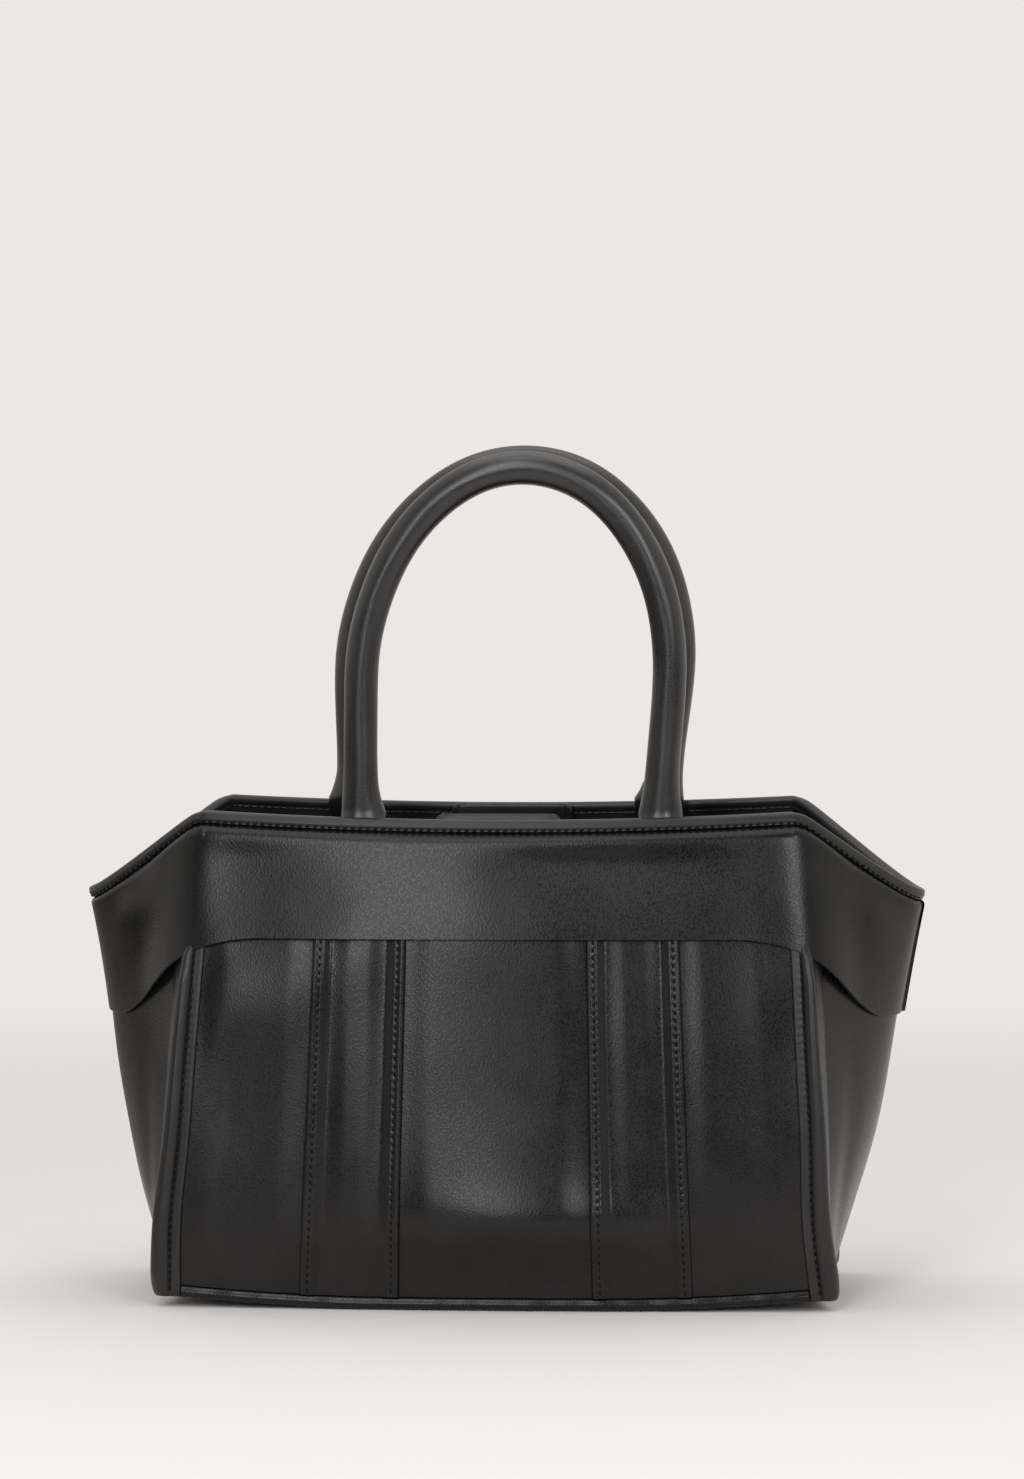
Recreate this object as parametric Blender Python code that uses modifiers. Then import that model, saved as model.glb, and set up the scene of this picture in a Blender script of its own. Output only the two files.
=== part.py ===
"""Structured handbag with two rolled handles, built as separate named pieces.

Metres, +Z up, front towards -Y, origin under the middle of the base.
The walls follow one surface, wall(q, z, out). q runs along the front half of the bag:
0 is the middle of the front, 1 the start of a corner, 2 its end and 3 the wing tip,
and it is negative on the left. out is the distance outside the panels' inner face.
The back is the same surface turned half round about Z.
"""
import math

import bmesh
import bpy
from mathutils import Vector

# Body: width and depth, and how far each level is drawn in from them
BASE_HALF_WIDTH = 0.1296
RIM_DRAWN_IN = 0.0130
HALF_DEPTH = 0.0619
BASE_DRAWN_IN = 0.0074
UPPER_DRAWN_IN = 0.0070
MOUTH_DRAWN_IN = 0.0189
WALL_BULGE = 0.006
CORNER_RADIUS = 0.004
FRONT_RIM_HEIGHT = 0.1983
BACK_RIM_HEIGHT = 0.2008
RIM_DIP = 0.0033

# Wings: how far the end walls reach beyond the base's half width
WING_TIP_HEIGHT = 0.165
WING_TIP_BEYOND = 0.0391
WING_UPPER_BEYOND = 0.0254
WING_LOWER_BEYOND = 0.0270
WING_BASE_BEYOND = -0.0006
WING_TIP_ROUNDING = 0.14
WING_BASE_ROUNDING = 1.1

# Base: flat in the middle, both ends lifted a little off the table
BASE_FLAT_HALF_LENGTH = 0.050
BASE_END_LIFT = 0.0039
BASE_PANEL_THICKNESS = 0.0016
BASE_BOARD_THICKNESS = 0.0020
BASE_BOARD_INSET = 0.003

# Leather, and the clearance kept between pieces that touch
LEATHER = 0.0014
COLLAR_LEATHER = 0.0016
FACING_LEATHER = 0.0012
LINING_CLOTH = 0.0008
GAP = 0.00035

# Front and back panels: two strips lapped over the middle and side panels
STRIP_INNER_EDGE = 0.0385
STRIP_OUTER_EDGE = 0.0788
STRIP_LAP = 0.0062
STRIP_DROP = 0.0030
PANEL_UNDER_LAP = 0.0048
PANEL_TOP_BELOW_RIM = 0.014

# Collar that hangs from the rim and runs out to the wing tips
COLLAR_DROP = 0.0467
COLLAR_WING_DROP = 0.0335
COLLAR_WING_STAND_OFF = 0.0021
COLLAR_SEAM_EDGE = 0.0024

# Along q: where the collar leaves the corner roll, and the run in which it nears the end wall
COLLAR_WING_START = 2.06
COLLAR_WING_RUN = 0.4

# Where the collar's lower edge starts to fall and the run of its fall. The front counts as 1
# of it, the corner as CORNER_RUN, and the front and the wing together as 2.
COLLAR_FALL_START = 0.80
COLLAR_FALL_RUN = 0.93
CORNER_RUN = 0.08

# The bend of the rim where the wing starts: its place, its softness and the slope after it
RIM_BEND_START = 0.04
RIM_BEND_SOFTNESS = 0.055
RIM_BEND_SLOPE = 1.3

# Trim
RIM_TRIM_HEIGHT = 0.0044
RIM_TRIM_LEATHER = 0.0010
RIM_STACK_TOP = 0.0018
CORNER_TRIM_LEATHER = 0.0013
CORNER_TRIM_FRONT_FLANGE = 0.0037
CORNER_TRIM_ROLL = 0.0025
BASE_TRIM_HEIGHT = 0.0050
BASE_TRIM_DEPTH = 0.0036

# Along q: where a corner trim ends on the end wall
CORNER_TRIM_END = 2.1

# Inside
FACING_DEPTH = 0.038
LINING_TOP_BELOW_RIM = 0.013
LINING_SLACK = 0.0005

# Handles
TUBE_RADIUS = 0.0068
TUBE_LEATHER = 0.0013
TUBE_SEAM_WIDTH = 0.0005
NECK_HALF_THICKNESS = 0.0016
NECK_HALF_WIDTH = 0.0085
NECK_LENGTH = 0.0095
NECK_GROWTH = 0.0150
LEG_HEIGHT = 0.055
FRONT_FOOT_HALF_SPAN = 0.0606
FRONT_ARCH_HALF_SPAN = 0.0620
FRONT_HANDLE_HEIGHT = 0.1384
FRONT_HANDLE_SHIFT = 0.0043
FRONT_HANDLE_LEAN = 0.0056
BACK_FOOT_HALF_SPAN = 0.0648
BACK_ARCH_HALF_SPAN = 0.0684
BACK_HANDLE_HEIGHT = 0.1400
BACK_HANDLE_SHIFT = -0.0011
BACK_HANDLE_LEAN = 0.0066
HANDLE_TAB_LENGTH = 0.038
HANDLE_RIM_CLEARANCE = 0.0005

# Closure tabs with the two halves of a magnetic snap
CLOSURE_HALF_WIDTH = 0.0255
CLOSURE_LENGTH = 0.040
CLOSURE_THICKNESS = 0.0030
CLOSURE_CHAMFER = 0.0040
FRONT_CLOSURE_RISE = 0.0030
BACK_CLOSURE_RISE = 0.0008
SNAP_RADIUS = 0.009
SNAP_THICKNESS = 0.0022
SNAP_BOSS_RADIUS = 0.0042
SNAP_BOSS_HEIGHT = 0.0012
SNAP_DEPTH = 0.022

RIM_HALF_WIDTH = BASE_HALF_WIDTH - RIM_DRAWN_IN
BASE_HALF_DEPTH = HALF_DEPTH - BASE_DRAWN_IN
UPPER_HALF_DEPTH = HALF_DEPTH - UPPER_DRAWN_IN
MOUTH_HALF_DEPTH = HALF_DEPTH - MOUTH_DRAWN_IN
LAYER = LEATHER + GAP
COLLAR_OUT = 2 * LAYER + 0.5 * GAP
ROLL_OUT = LAYER + CORNER_TRIM_LEATHER + CORNER_TRIM_ROLL
COLLAR_CORNER_OUT = ROLL_OUT + 2 * GAP
RIM_INNER_FACE = -GAP - FACING_LEATHER - GAP - RIM_TRIM_LEATHER
FACING_INNER_FACE = -GAP - LINING_SLACK - LINING_CLOTH - 2 * GAP - FACING_LEATHER
MOUTH_FACE = min(RIM_INNER_FACE, FACING_INNER_FACE) - 1.5 * GAP
WING_COLUMNS = [2.0, 2.1, 2.3, 2.5, 2.68, 2.82, 2.92, 3.0]


def eased(value):
    """0 below 0, 1 above 1, and a smooth rise between."""
    value = min(1.0, max(0.0, value))
    return value * value * (3 - 2 * value)


def bezier(values, u):
    """A cubic through four control values, carried on straight past either end."""
    a, b, c, d = values
    if u > 1:
        return d + 3 * (d - c) * (u - 1)
    if u < 0:
        return a + 3 * (b - a) * u
    k = 1 - u
    return k ** 3 * a + 3 * k * k * u * b + 3 * k * u * u * c + u ** 3 * d


def corner_x(z):
    return BASE_HALF_WIDTH + (RIM_HALF_WIDTH - BASE_HALF_WIDTH) * z / FRONT_RIM_HEIGHT


def corner_y(z):
    depths = (BASE_HALF_DEPTH, HALF_DEPTH, UPPER_HALF_DEPTH, MOUTH_HALF_DEPTH)
    return bezier(depths, z / FRONT_RIM_HEIGHT)


def wing_x(z):
    beyond = (WING_BASE_BEYOND, WING_LOWER_BEYOND, WING_UPPER_BEYOND, WING_TIP_BEYOND)
    return BASE_HALF_WIDTH + bezier(beyond, z / WING_TIP_HEIGHT)


def wing_rounding(z):
    share = min(1.0, max(0.0, z / WING_TIP_HEIGHT))
    return WING_BASE_ROUNDING + (WING_TIP_ROUNDING - WING_BASE_ROUNDING) * share ** 0.5


def wing_share(q, z):
    """How far out the wing has come at q, from 0 at the corner to 1 at the tip."""
    v = q - 3
    r = wing_rounding(z)
    top = math.sqrt(1 + r * r)
    return 1 - (math.sqrt(v * v + r * r) - r) / (top - r)


def wall(q, z, out, back=False):
    """A point on the bag's wall, moved outwards by out in the horizontal plane."""
    side = -1 if q < 0 else 1
    q = abs(q)
    half_width = corner_x(z)
    half_depth = corner_y(z)
    front_normal = Vector((2 * WALL_BULGE * min(q, 1), -half_width)).normalized()
    if q <= 1:
        x = q * half_width
        y = -half_depth - WALL_BULGE * (1 - q * q)
        normal = front_normal
    else:
        v = max(-1.0, q - 3)
        r = wing_rounding(z)
        top = math.sqrt(1 + r * r)
        run = wing_x(z) - CORNER_RADIUS - half_width
        slope = -run * v / math.sqrt(v * v + r * r) / (top - r)
        x = half_width + run * wing_share(3 + v, z)
        y = half_depth * v
        normal = Vector((half_depth, -slope)).normalized()
        if q < 2:
            start = math.atan2(front_normal.y, front_normal.x)
            end = math.atan2(normal.y, normal.x)
            turn = start + (end - start) * (q - 1)
            normal = Vector((math.cos(turn), math.sin(turn)))
    x += normal.x * (CORNER_RADIUS + out)
    y += normal.y * (CORNER_RADIUS + out)
    if q >= 3:
        y = 0.0
    if back:
        return Vector((-side * x, -y, z))
    return Vector((side * x, y, z))


def rim_height(q, back=False):
    """Height of the rim's top edge: a shallow dip, a soft bend and a long slope to the tip."""
    q = abs(q)
    full = BACK_RIM_HEIGHT if back else FRONT_RIM_HEIGHT
    dip = RIM_DIP * (1 - min(q, 1.0) ** 2)
    past = wing_share(q, WING_TIP_HEIGHT) if q > 2 else 0.1 * (q - 2)
    run = (past - RIM_BEND_START) / (1 - RIM_BEND_START)
    run = (run + math.sqrt(run * run + RIM_BEND_SOFTNESS ** 2)) / 2
    fall = RIM_BEND_SLOPE * run + (1 - RIM_BEND_SLOPE) * run * run
    return full - dip + (WING_TIP_HEIGHT - full) * fall


def collar_height(q):
    """Height of the collar's lower edge."""
    q = abs(q)
    top = FRONT_RIM_HEIGHT - RIM_DIP - COLLAR_DROP
    corner = min(1.0, max(0.0, q - 1))
    wing = max(0.0, q - 2)
    along = min(q, 1.0) + CORNER_RUN * corner + (1 - CORNER_RUN) * wing
    return top - COLLAR_WING_DROP * eased((along - COLLAR_FALL_START) / COLLAR_FALL_RUN)


def lift(x):
    """How far the base stands off the table at x."""
    beyond = max(0.0, abs(x) - BASE_FLAT_HALF_LENGTH)
    return BASE_END_LIFT * (beyond / (BASE_HALF_WIDTH - BASE_FLAT_HALF_LENGTH)) ** 1.6


def material(name, colour, roughness, metallic=0.0):
    made = bpy.data.materials.new(name)
    made.use_nodes = True
    shader = made.node_tree.nodes["Principled BSDF"]
    shader.inputs["Base Color"].default_value = (*colour, 1.0)
    shader.inputs["Roughness"].default_value = roughness
    shader.inputs["Metallic"].default_value = metallic
    return made


def add_object(name, bm, look, group, origin=None):
    mesh = bpy.data.meshes.new(name)
    if origin is not None:
        bmesh.ops.translate(bm, verts=bm.verts, vec=-origin)
    bm.to_mesh(mesh)
    bm.free()
    made = bpy.data.objects.new(name, mesh)
    if origin is not None:
        made.location = origin
    mesh.materials.append(look)
    group.objects.link(made)
    return made


def sheet(name, columns, rows, place, thickness, look, group):
    """An open grid laid over place(column, row), then thickened along its normals."""
    bm = bmesh.new()
    bmesh.ops.create_grid(bm, x_segments=columns - 1, y_segments=rows - 1, size=0.5)
    for vertex in bm.verts:
        column = round((vertex.co.x + 0.5) * (columns - 1))
        row = round((vertex.co.y + 0.5) * (rows - 1))
        vertex.co = place(column, row)
    made = add_object(name, bm, look, group)
    thicken(made, thickness)
    return made


def thicken(made, thickness):
    solid = made.modifiers.new("Thickness", "SOLIDIFY")
    solid.thickness = thickness
    solid.offset = 1.0
    solid.use_even_offset = True


def loft(name, sections, look, group, origin=None, open_end=False):
    """A solid through a row of sections that change shape on the way."""
    bm = bmesh.new()
    rings = [[bm.verts.new(point) for point in section] for section in sections]
    count = len(rings[0])
    for lower, upper in zip(rings, rings[1:]):
        for k in range(count):
            n = (k + 1) % count
            bm.faces.new((lower[k], lower[n], upper[n], upper[k]))
    bm.faces.new(list(reversed(rings[0])))
    if not open_end:
        bm.faces.new(rings[-1])
        bmesh.ops.recalc_face_normals(bm, faces=bm.faces)
    return add_object(name, bm, look, group, origin)


def between(start, end, steps):
    return [start + (end - start) * k / (steps - 1) for k in range(steps)]


def half_columns():
    """q for one half of a band that runs from the middle to the wing tip."""
    front = [0.0, 0.25, 0.5, 0.75, 0.9]
    corner = [1.0, 1.25, 1.5, 1.75, 2.0]
    return front + corner + WING_COLUMNS[1:]


def band_columns():
    right = half_columns()
    left = [-q for q in reversed(right[1:])]
    return left + right


def seam_shift(point, q, back):
    """Keeps the front and back halves of a band apart where they meet at a wing tip."""
    if abs(q) >= 3:
        point.y += GAP / 2 if back else -GAP / 2
    return point


def wall_panel(name, qs, outs, back, look, group, steps=9):
    """One leather panel of the front or back wall, from the base trim up under the collar."""
    def place(column, row):
        q = qs[column]
        foot = wall(q, 0.0, 0.0)
        bottom = lift(foot.x) + BASE_TRIM_HEIGHT + GAP
        top = rim_height(q, back) - PANEL_TOP_BELOW_RIM
        z = bottom + (top - bottom) * row / (steps - 1)
        return wall(q, z, outs[column], back)

    return sheet(name, len(qs), steps, place, LEATHER, look, group)


def build_walls(look, group):
    scale = 1 / BASE_HALF_WIDTH
    inner = STRIP_INNER_EDGE
    outer = STRIP_OUTER_EDGE
    middle_edge = (inner + PANEL_UNDER_LAP) * scale
    side_edge = (outer - PANEL_UNDER_LAP) * scale
    strip = [inner, inner + STRIP_LAP, inner + STRIP_LAP + STRIP_DROP, (inner + outer) / 2]
    strip += [outer - STRIP_LAP - STRIP_DROP, outer - STRIP_LAP, outer]
    strip = [x * scale for x in strip]
    strip_outs = [LAYER, LAYER, 0.0, 0.0, 0.0, LAYER, LAYER]
    for back in (False, True):
        word = "back" if back else "front"
        # The back is turned half round, so its right-hand q lies on the left.
        first, second = ("right", "left") if back else ("left", "right")
        centre = between(-middle_edge, middle_edge, 5)
        wall_panel(word + "_centre_panel", centre, [0.0] * 5, back, look, group)
        wall_panel(word + "_strip_" + second, strip, strip_outs, back, look, group)
        mirrored = [-q for q in reversed(strip)]
        wall_panel(word + "_strip_" + first, mirrored, strip_outs, back, look, group)
        side = between(side_edge, 0.995, 5)
        wall_panel(word + "_side_panel_" + second, side, [0.0] * 5, back, look, group)
        mirrored = [-q for q in reversed(side)]
        wall_panel(word + "_side_panel_" + first, mirrored, [0.0] * 5, back, look, group)


def build_gussets(look, group):
    """The two end walls, each from the front corner round to the back corner."""
    steps = 10
    half = [2.01] + WING_COLUMNS[1:]
    for name, sign in (("gusset_right", 1), ("gusset_left", -1)):
        front = [(sign * q, False) for q in half]
        rear = [(-sign * q, True) for q in reversed(half[:-1])]
        path = front + rear
        if sign < 0:
            path.reverse()

        def place(column, row, path=path):
            q, back = path[column]
            foot = wall(q, 0.0, 0.0)
            bottom = lift(foot.x) + GAP
            top = rim_height(q, back) - PANEL_TOP_BELOW_RIM
            z = bottom + (top - bottom) * row / (steps - 1)
            return wall(q, z, 0.0, back)

        sheet(name, len(path), steps, place, LEATHER, look, group)


def collar_out(q, below):
    """How far the collar's inner face stands out, at a depth below the rim."""
    q = abs(q)
    if q <= 1.5:
        out = COLLAR_OUT + (COLLAR_CORNER_OUT - COLLAR_OUT) * eased((q - 0.9) / 0.3)
    elif q <= 2:
        out = COLLAR_CORNER_OUT
    else:
        fall = eased((q - COLLAR_WING_START) / COLLAR_WING_RUN)
        out = COLLAR_CORNER_OUT + (COLLAR_WING_STAND_OFF - COLLAR_CORNER_OUT) * fall
    drawn_in = (below - 0.006) / (PANEL_TOP_BELOW_RIM - GAP - 0.006)
    return out * eased(drawn_in)


def build_collars(look, group):
    qs = band_columns()
    last = len(qs) + 1
    upper = [PANEL_TOP_BELOW_RIM, 0.0115, 0.009, 0.006, RIM_STACK_TOP]
    rows = 3 + len(upper)
    for back in (False, True):
        def place(column, row, back=back):
            q = qs[min(max(column - 1, 0), len(qs) - 1)]
            top = rim_height(q, back)
            if row >= 3:
                z = top - upper[row - 3]
            else:
                low = collar_height(q)
                z = low + (top - upper[0] - low) * row / 3
            out = collar_out(q, top - z)
            if column in (0, last):
                low_down = top - z > 1.5 * RIM_TRIM_HEIGHT
                out += COLLAR_SEAM_EDGE if low_down else 1.03 * COLLAR_LEATHER
            return seam_shift(wall(q, z, out, back), q, back)

        name = "collar_back" if back else "collar_front"
        sheet(name, last + 1, rows, place, COLLAR_LEATHER, look, group)


def build_facings(look, group):
    """The leather band inside the mouth, over the top of the lining."""
    qs = band_columns()
    depths = [FACING_DEPTH, 0.025, LINING_TOP_BELOW_RIM - 3 * GAP, 0.0075, RIM_STACK_TOP]
    upper = -GAP - FACING_LEATHER
    lower = FACING_INNER_FACE
    for back in (False, True):
        def place(column, row, back=back):
            q = qs[column]
            out = lower if row < 3 else upper
            z = rim_height(q, back) - depths[row]
            return seam_shift(wall(q, z, out, back), q, back)

        name = "facing_back" if back else "facing_front"
        sheet(name, len(qs), len(depths), place, FACING_LEATHER, look, group)


def build_rim_trims(look, group):
    """The folded strip over the top edges of the collar and the facing."""
    outer_in = COLLAR_LEATHER + 2 * GAP
    outer = outer_in + RIM_TRIM_LEATHER
    inner_in = -GAP - FACING_LEATHER - GAP
    inner = RIM_INNER_FACE
    leather = RIM_TRIM_LEATHER
    bottom = -RIM_TRIM_HEIGHT
    profile = [
        (outer, bottom), (outer, -0.9 * leather), (outer - 0.7 * leather, -0.2 * leather),
        (outer_in - 0.6 * leather, 0.0), (inner_in + 0.6 * leather, 0.0),
        (inner + 0.7 * leather, -0.2 * leather), (inner, -0.9 * leather), (inner, bottom),
        (inner_in, bottom), (inner_in, -leather), (outer_in, -leather), (outer_in, bottom),
    ]
    qs = band_columns()
    for back in (False, True):
        sections = []
        for q in qs:
            step = 0.02
            behind = wall(max(-3.0, q - step), 0.18, 0.0)
            ahead = wall(min(3.0, q + step), 0.18, 0.0)
            run = max(1e-6, (ahead - behind).length)
            rise = rim_height(min(3.0, q + step), back) - rim_height(max(-3.0, q - step), back)
            stretch = math.sqrt(1 + (rise / run) ** 2) if abs(q) > 2.05 else 1.0
            top = rim_height(q, back)
            section = []
            for out, drop in profile:
                point = wall(q, top + drop * stretch, out, back)
                section.append(seam_shift(point, q, back))
            sections.append(section)
        loft("rim_trim_back" if back else "rim_trim_front", sections, look, group)


def build_corner_trims(look, group):
    """The padded strip over each upright corner: a flange on the front, then a roll."""
    flange = CORNER_TRIM_FRONT_FLANGE / BASE_HALF_WIDTH
    round_corner = CORNER_TRIM_END - 1
    under = [(0.0, 0), (0.32, 0), (0.64, 0), (0.91, GAP), (1.0, GAP)]
    over = [(1.0, 0.1), (0.94, 0.15), (0.82, 0.72), (0.64, 1.0), (0.44, 1.0), (0.24, 0.75)]
    over += [(0.09, 0.2), (0.0, 0.0)]
    inner = [(1 - flange, 0)] + [(1 + share * round_corner, more) for share, more in under]
    outer = [(1 + share * round_corner, full) for share, full in over] + [(1 - flange, 0.0)]
    corners = (
        ("corner_trim_front_right", 1, False), ("corner_trim_front_left", -1, False),
        ("corner_trim_back_left", 1, True), ("corner_trim_back_right", -1, True),
    )
    for name, sign, back in corners:
        foot = wall(1.0, 0.0, 0.0)
        start = lift(foot.x) + GAP
        end = FRONT_RIM_HEIGHT - PANEL_TOP_BELOW_RIM - 0.002
        heights = [(start, 0.25), (start + 0.0012, 0.7), (start + 0.004, 1.0)]
        heights += [(z, 1.0) for z in between(start + 0.02, end, 8)]
        sections = []
        for z, swell in heights:
            section = [wall(sign * q, z, LAYER + more, back) for q, more in inner]
            for q, share in outer:
                out = LAYER + CORNER_TRIM_LEATHER * (0.6 + 0.4 * swell)
                out += CORNER_TRIM_ROLL * share * swell
                section.append(wall(sign * q, z, out, back))
            sections.append(section)
        loft(name, sections, look, group)


def build_base(leather, board, group):
    def plan(column, columns, row, rows, inset, z):
        h = 2 * column / (columns - 1) - 1
        v = 2 * row / (rows - 1) - 1
        end = wall(3.0 - abs(v), 0.0, 0.0)
        x = h * (end.x - inset) if abs(v) < 1 else h * (corner_x(0) + CORNER_RADIUS - inset)
        depth = BASE_HALF_DEPTH + WALL_BULGE * (1 - h * h) + CORNER_RADIUS - inset
        return Vector((x, v * depth, z + lift(x)))

    def panel(column, row):
        return plan(column, 17, row, 7, GAP, 0.0)

    def stiffener(column, row):
        return plan(column, 17, row, 5, BASE_BOARD_INSET, BASE_PANEL_THICKNESS + GAP)

    sheet("base_panel", 17, 7, panel, BASE_PANEL_THICKNESS, leather, group)
    sheet("base_board", 17, 5, stiffener, BASE_BOARD_THICKNESS, board, group)


def build_base_trims(look, group):
    """The rounded strip along the foot of the front and back walls."""
    height = BASE_TRIM_HEIGHT
    depth = BASE_TRIM_DEPTH
    profile = [
        (0.0, GAP), (0.45 * depth, GAP), (0.82 * depth, 0.16 * height),
        (depth, 0.42 * height), (0.96 * depth, 0.70 * height), (0.72 * depth, 0.92 * height),
        (0.35 * depth, height), (0.0, height),
    ]
    end = 1 - (CORNER_TRIM_FRONT_FLANGE + GAP) / BASE_HALF_WIDTH
    for back in (False, True):
        sections = []
        for q in between(-end, end, 25):
            rise = lift(wall(q, 0.0, 0.0).x)
            sections.append([wall(q, rise + z, out, back) for out, z in profile])
        loft("base_trim_back" if back else "base_trim_front", sections, look, group)


def build_lining(look, group):
    """The cloth bag inside: a floor and one wall all the way round."""
    half = [0.0, 0.3, 0.6, 0.9, 1.0, 1.5] + WING_COLUMNS[:-1]
    front = [-3.0] + [-q for q in reversed(half[1:])] + half
    loop = [(q, False) for q in front] + [(q, True) for q in front]
    out = -GAP - LINING_SLACK - LINING_CLOTH
    floor = BASE_PANEL_THICKNESS + BASE_BOARD_THICKNESS + 2 * GAP + LINING_CLOTH
    edge = []
    for q, back in loop:
        point = wall(q, floor, out, back)
        point.z = floor + lift(point.x)
        edge.append(point)
    rings = []
    for share in (0.33, 0.66):
        ring = []
        for point in edge:
            x = share * point.x
            ring.append(Vector((x, share * point.y, floor + lift(x))))
        rings.append(ring)
    rings.append(edge)
    for step in range(1, 8):
        ring = []
        for (q, back), foot in zip(loop, edge):
            top = rim_height(q, back) - LINING_TOP_BELOW_RIM
            ring.append(wall(q, foot.z + (top - foot.z) * step / 7, out, back))
        rings.append(ring)
    made = loft("lining", rings, look, group, open_end=True)
    thicken(made, LINING_CLOTH)


def handle_numbers(back):
    """Foot half span, arch half span, height, shift and lean of one handle."""
    if back:
        spans = (BACK_FOOT_HALF_SPAN, BACK_ARCH_HALF_SPAN)
        return (*spans, BACK_HANDLE_HEIGHT, BACK_HANDLE_SHIFT, BACK_HANDLE_LEAN)
    spans = (FRONT_FOOT_HALF_SPAN, FRONT_ARCH_HALF_SPAN)
    return (*spans, FRONT_HANDLE_HEIGHT, FRONT_HANDLE_SHIFT, FRONT_HANDLE_LEAN)


def handle_axis(back):
    """A point on the line that a handle tilts about, just above and inside the rim."""
    foot, _, _, shift, _ = handle_numbers(back)
    widest = foot + abs(shift) + 1.1 * NECK_HALF_WIDTH
    q = widest / RIM_HALF_WIDTH
    top = rim_height(q, back)
    depth = -wall(q, top, MOUTH_FACE).y
    y = depth - NECK_HALF_THICKNESS / math.cos(wall_lean(q, top))
    z = top + NECK_HALF_THICKNESS + HANDLE_RIM_CLEARANCE
    return Vector((shift, y if back else -y, z))


def wall_lean(q, top):
    """Angle of the wall from upright, over the length of a tab inside the mouth."""
    drop = HANDLE_TAB_LENGTH
    return math.atan((wall(q, top, 0.0).y - wall(q, top - drop, 0.0).y) / drop)


def handle_path(back):
    """Centre line of a handle above its axis, from the left foot over to the right one."""
    foot, arch, height, _, lean = handle_numbers(back)
    legs = [0.0, 0.3, 0.6, 1.0]
    low = [k * NECK_LENGTH for k in legs]
    grow = [NECK_LENGTH + k * NECK_GROWTH for k in (0.25, 0.5, 0.75, 1.0)]
    high = between(NECK_LENGTH + NECK_GROWTH, LEG_HEIGHT, 4)[1:]
    heights = low + grow + high

    def leaned(x, h):
        return Vector((x + lean * h / height, 0.0, h))

    left = []
    right = []
    for h in heights:
        half = foot + (arch - foot) * eased(h / LEG_HEIGHT)
        left.append((leaned(-half, h), h))
        right.append((leaned(half, h), h))
    over = []
    for k in range(1, 16):
        turn = math.pi * k / 16
        h = LEG_HEIGHT + (height - LEG_HEIGHT) * math.sin(turn)
        over.append((leaned(-arch * math.cos(turn), h), h))
    return left + over + list(reversed(right))


def handle_frames(back):
    """Centre, outward direction in the handle's plane and height, along the path."""
    path = handle_path(back)
    frames = []
    for k, (centre, h) in enumerate(path):
        before = path[max(0, k - 1)][0]
        after = path[min(len(path) - 1, k + 1)][0]
        along = (after - before).normalized()
        if h < 0.4 * NECK_LENGTH:
            along = Vector((0, 0, 1 if k < len(path) / 2 else -1))
        frames.append((centre, Vector((-along.z, 0.0, along.x)), h))
    return frames


def tube_section(centre, outward, half_width, half_thickness, sides=14):
    section = []
    for k in range(sides):
        turn = 2 * math.pi * k / sides
        across = outward * (half_width * math.cos(turn))
        section.append(centre + across + Vector((0, half_thickness * math.sin(turn), 0)))
    return section


def neck_size(h):
    """Half width and half thickness of the handle at a height above its axis."""
    grown = eased((h - NECK_LENGTH) / NECK_GROWTH)
    thickness = NECK_HALF_THICKNESS + (TUBE_RADIUS - NECK_HALF_THICKNESS) * grown
    slimmed = eased(h / (NECK_LENGTH + NECK_GROWTH))
    width = NECK_HALF_WIDTH + (TUBE_RADIUS - NECK_HALF_WIDTH) * slimmed
    return width, thickness


def build_handle(back, leather, filling, group, cutters):
    word = "back" if back else "front"
    axis = handle_axis(back)
    frames = handle_frames(back)
    sections = []
    for centre, outward, h in frames:
        width, thickness = neck_size(h)
        sections.append(tube_section(centre + axis, outward, width, thickness))
    ends = []
    for centre, outward, _ in (frames[0], frames[-1]):
        rounded = []
        for turn in (75, 45, 20):
            down = NECK_HALF_THICKNESS * math.sin(math.radians(turn))
            thin = NECK_HALF_THICKNESS * math.cos(math.radians(turn))
            slim = NECK_HALF_WIDTH - 0.35 * down
            middle = centre + axis + Vector((0, 0, -down))
            rounded.append(tube_section(middle, outward, slim, thin))
        ends.append(rounded)
    sections = ends[0] + sections + list(reversed(ends[1]))
    cover = loft(word + "_handle_cover", sections, leather, group, axis)

    bore = TUBE_RADIUS - TUBE_LEATHER
    start = NECK_LENGTH + NECK_GROWTH
    round_part = [frame for frame in frames if frame[2] >= start - 1e-9]
    slot = TUBE_SEAM_WIDTH / 2
    keyhole = []
    for centre, outward, _ in round_part:
        section = [centre + axis - outward * (1.4 * TUBE_RADIUS) + Vector((0, slot, 0))]
        for k in range(12):
            turn = math.pi - 0.12 - (2 * math.pi - 0.24) * k / 11
            across = outward * (bore * math.cos(turn))
            section.append(centre + axis + across + Vector((0, bore * math.sin(turn), 0)))
        section.append(centre + axis - outward * (1.4 * TUBE_RADIUS) - Vector((0, slot, 0)))
        keyhole.append(section)
    cutter = loft(word + "_handle_bore", keyhole, filling, cutters, axis)
    cutter.display_type = "WIRE"
    cutter.hide_render = True
    cut = cover.modifiers.new("Bore and seam", "BOOLEAN")
    cut.operation = "DIFFERENCE"
    cut.solver = "EXACT"
    cut.object = cutter

    radius = bore - 2 * GAP
    core = []
    for k, (centre, outward, _) in enumerate(round_part):
        shift = Vector((0, 0, GAP)) if k in (0, len(round_part) - 1) else Vector()
        core.append(tube_section(centre + axis + shift, outward, radius, radius, 10))
    loft(word + "_handle_core", core, filling, group, axis)


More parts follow.
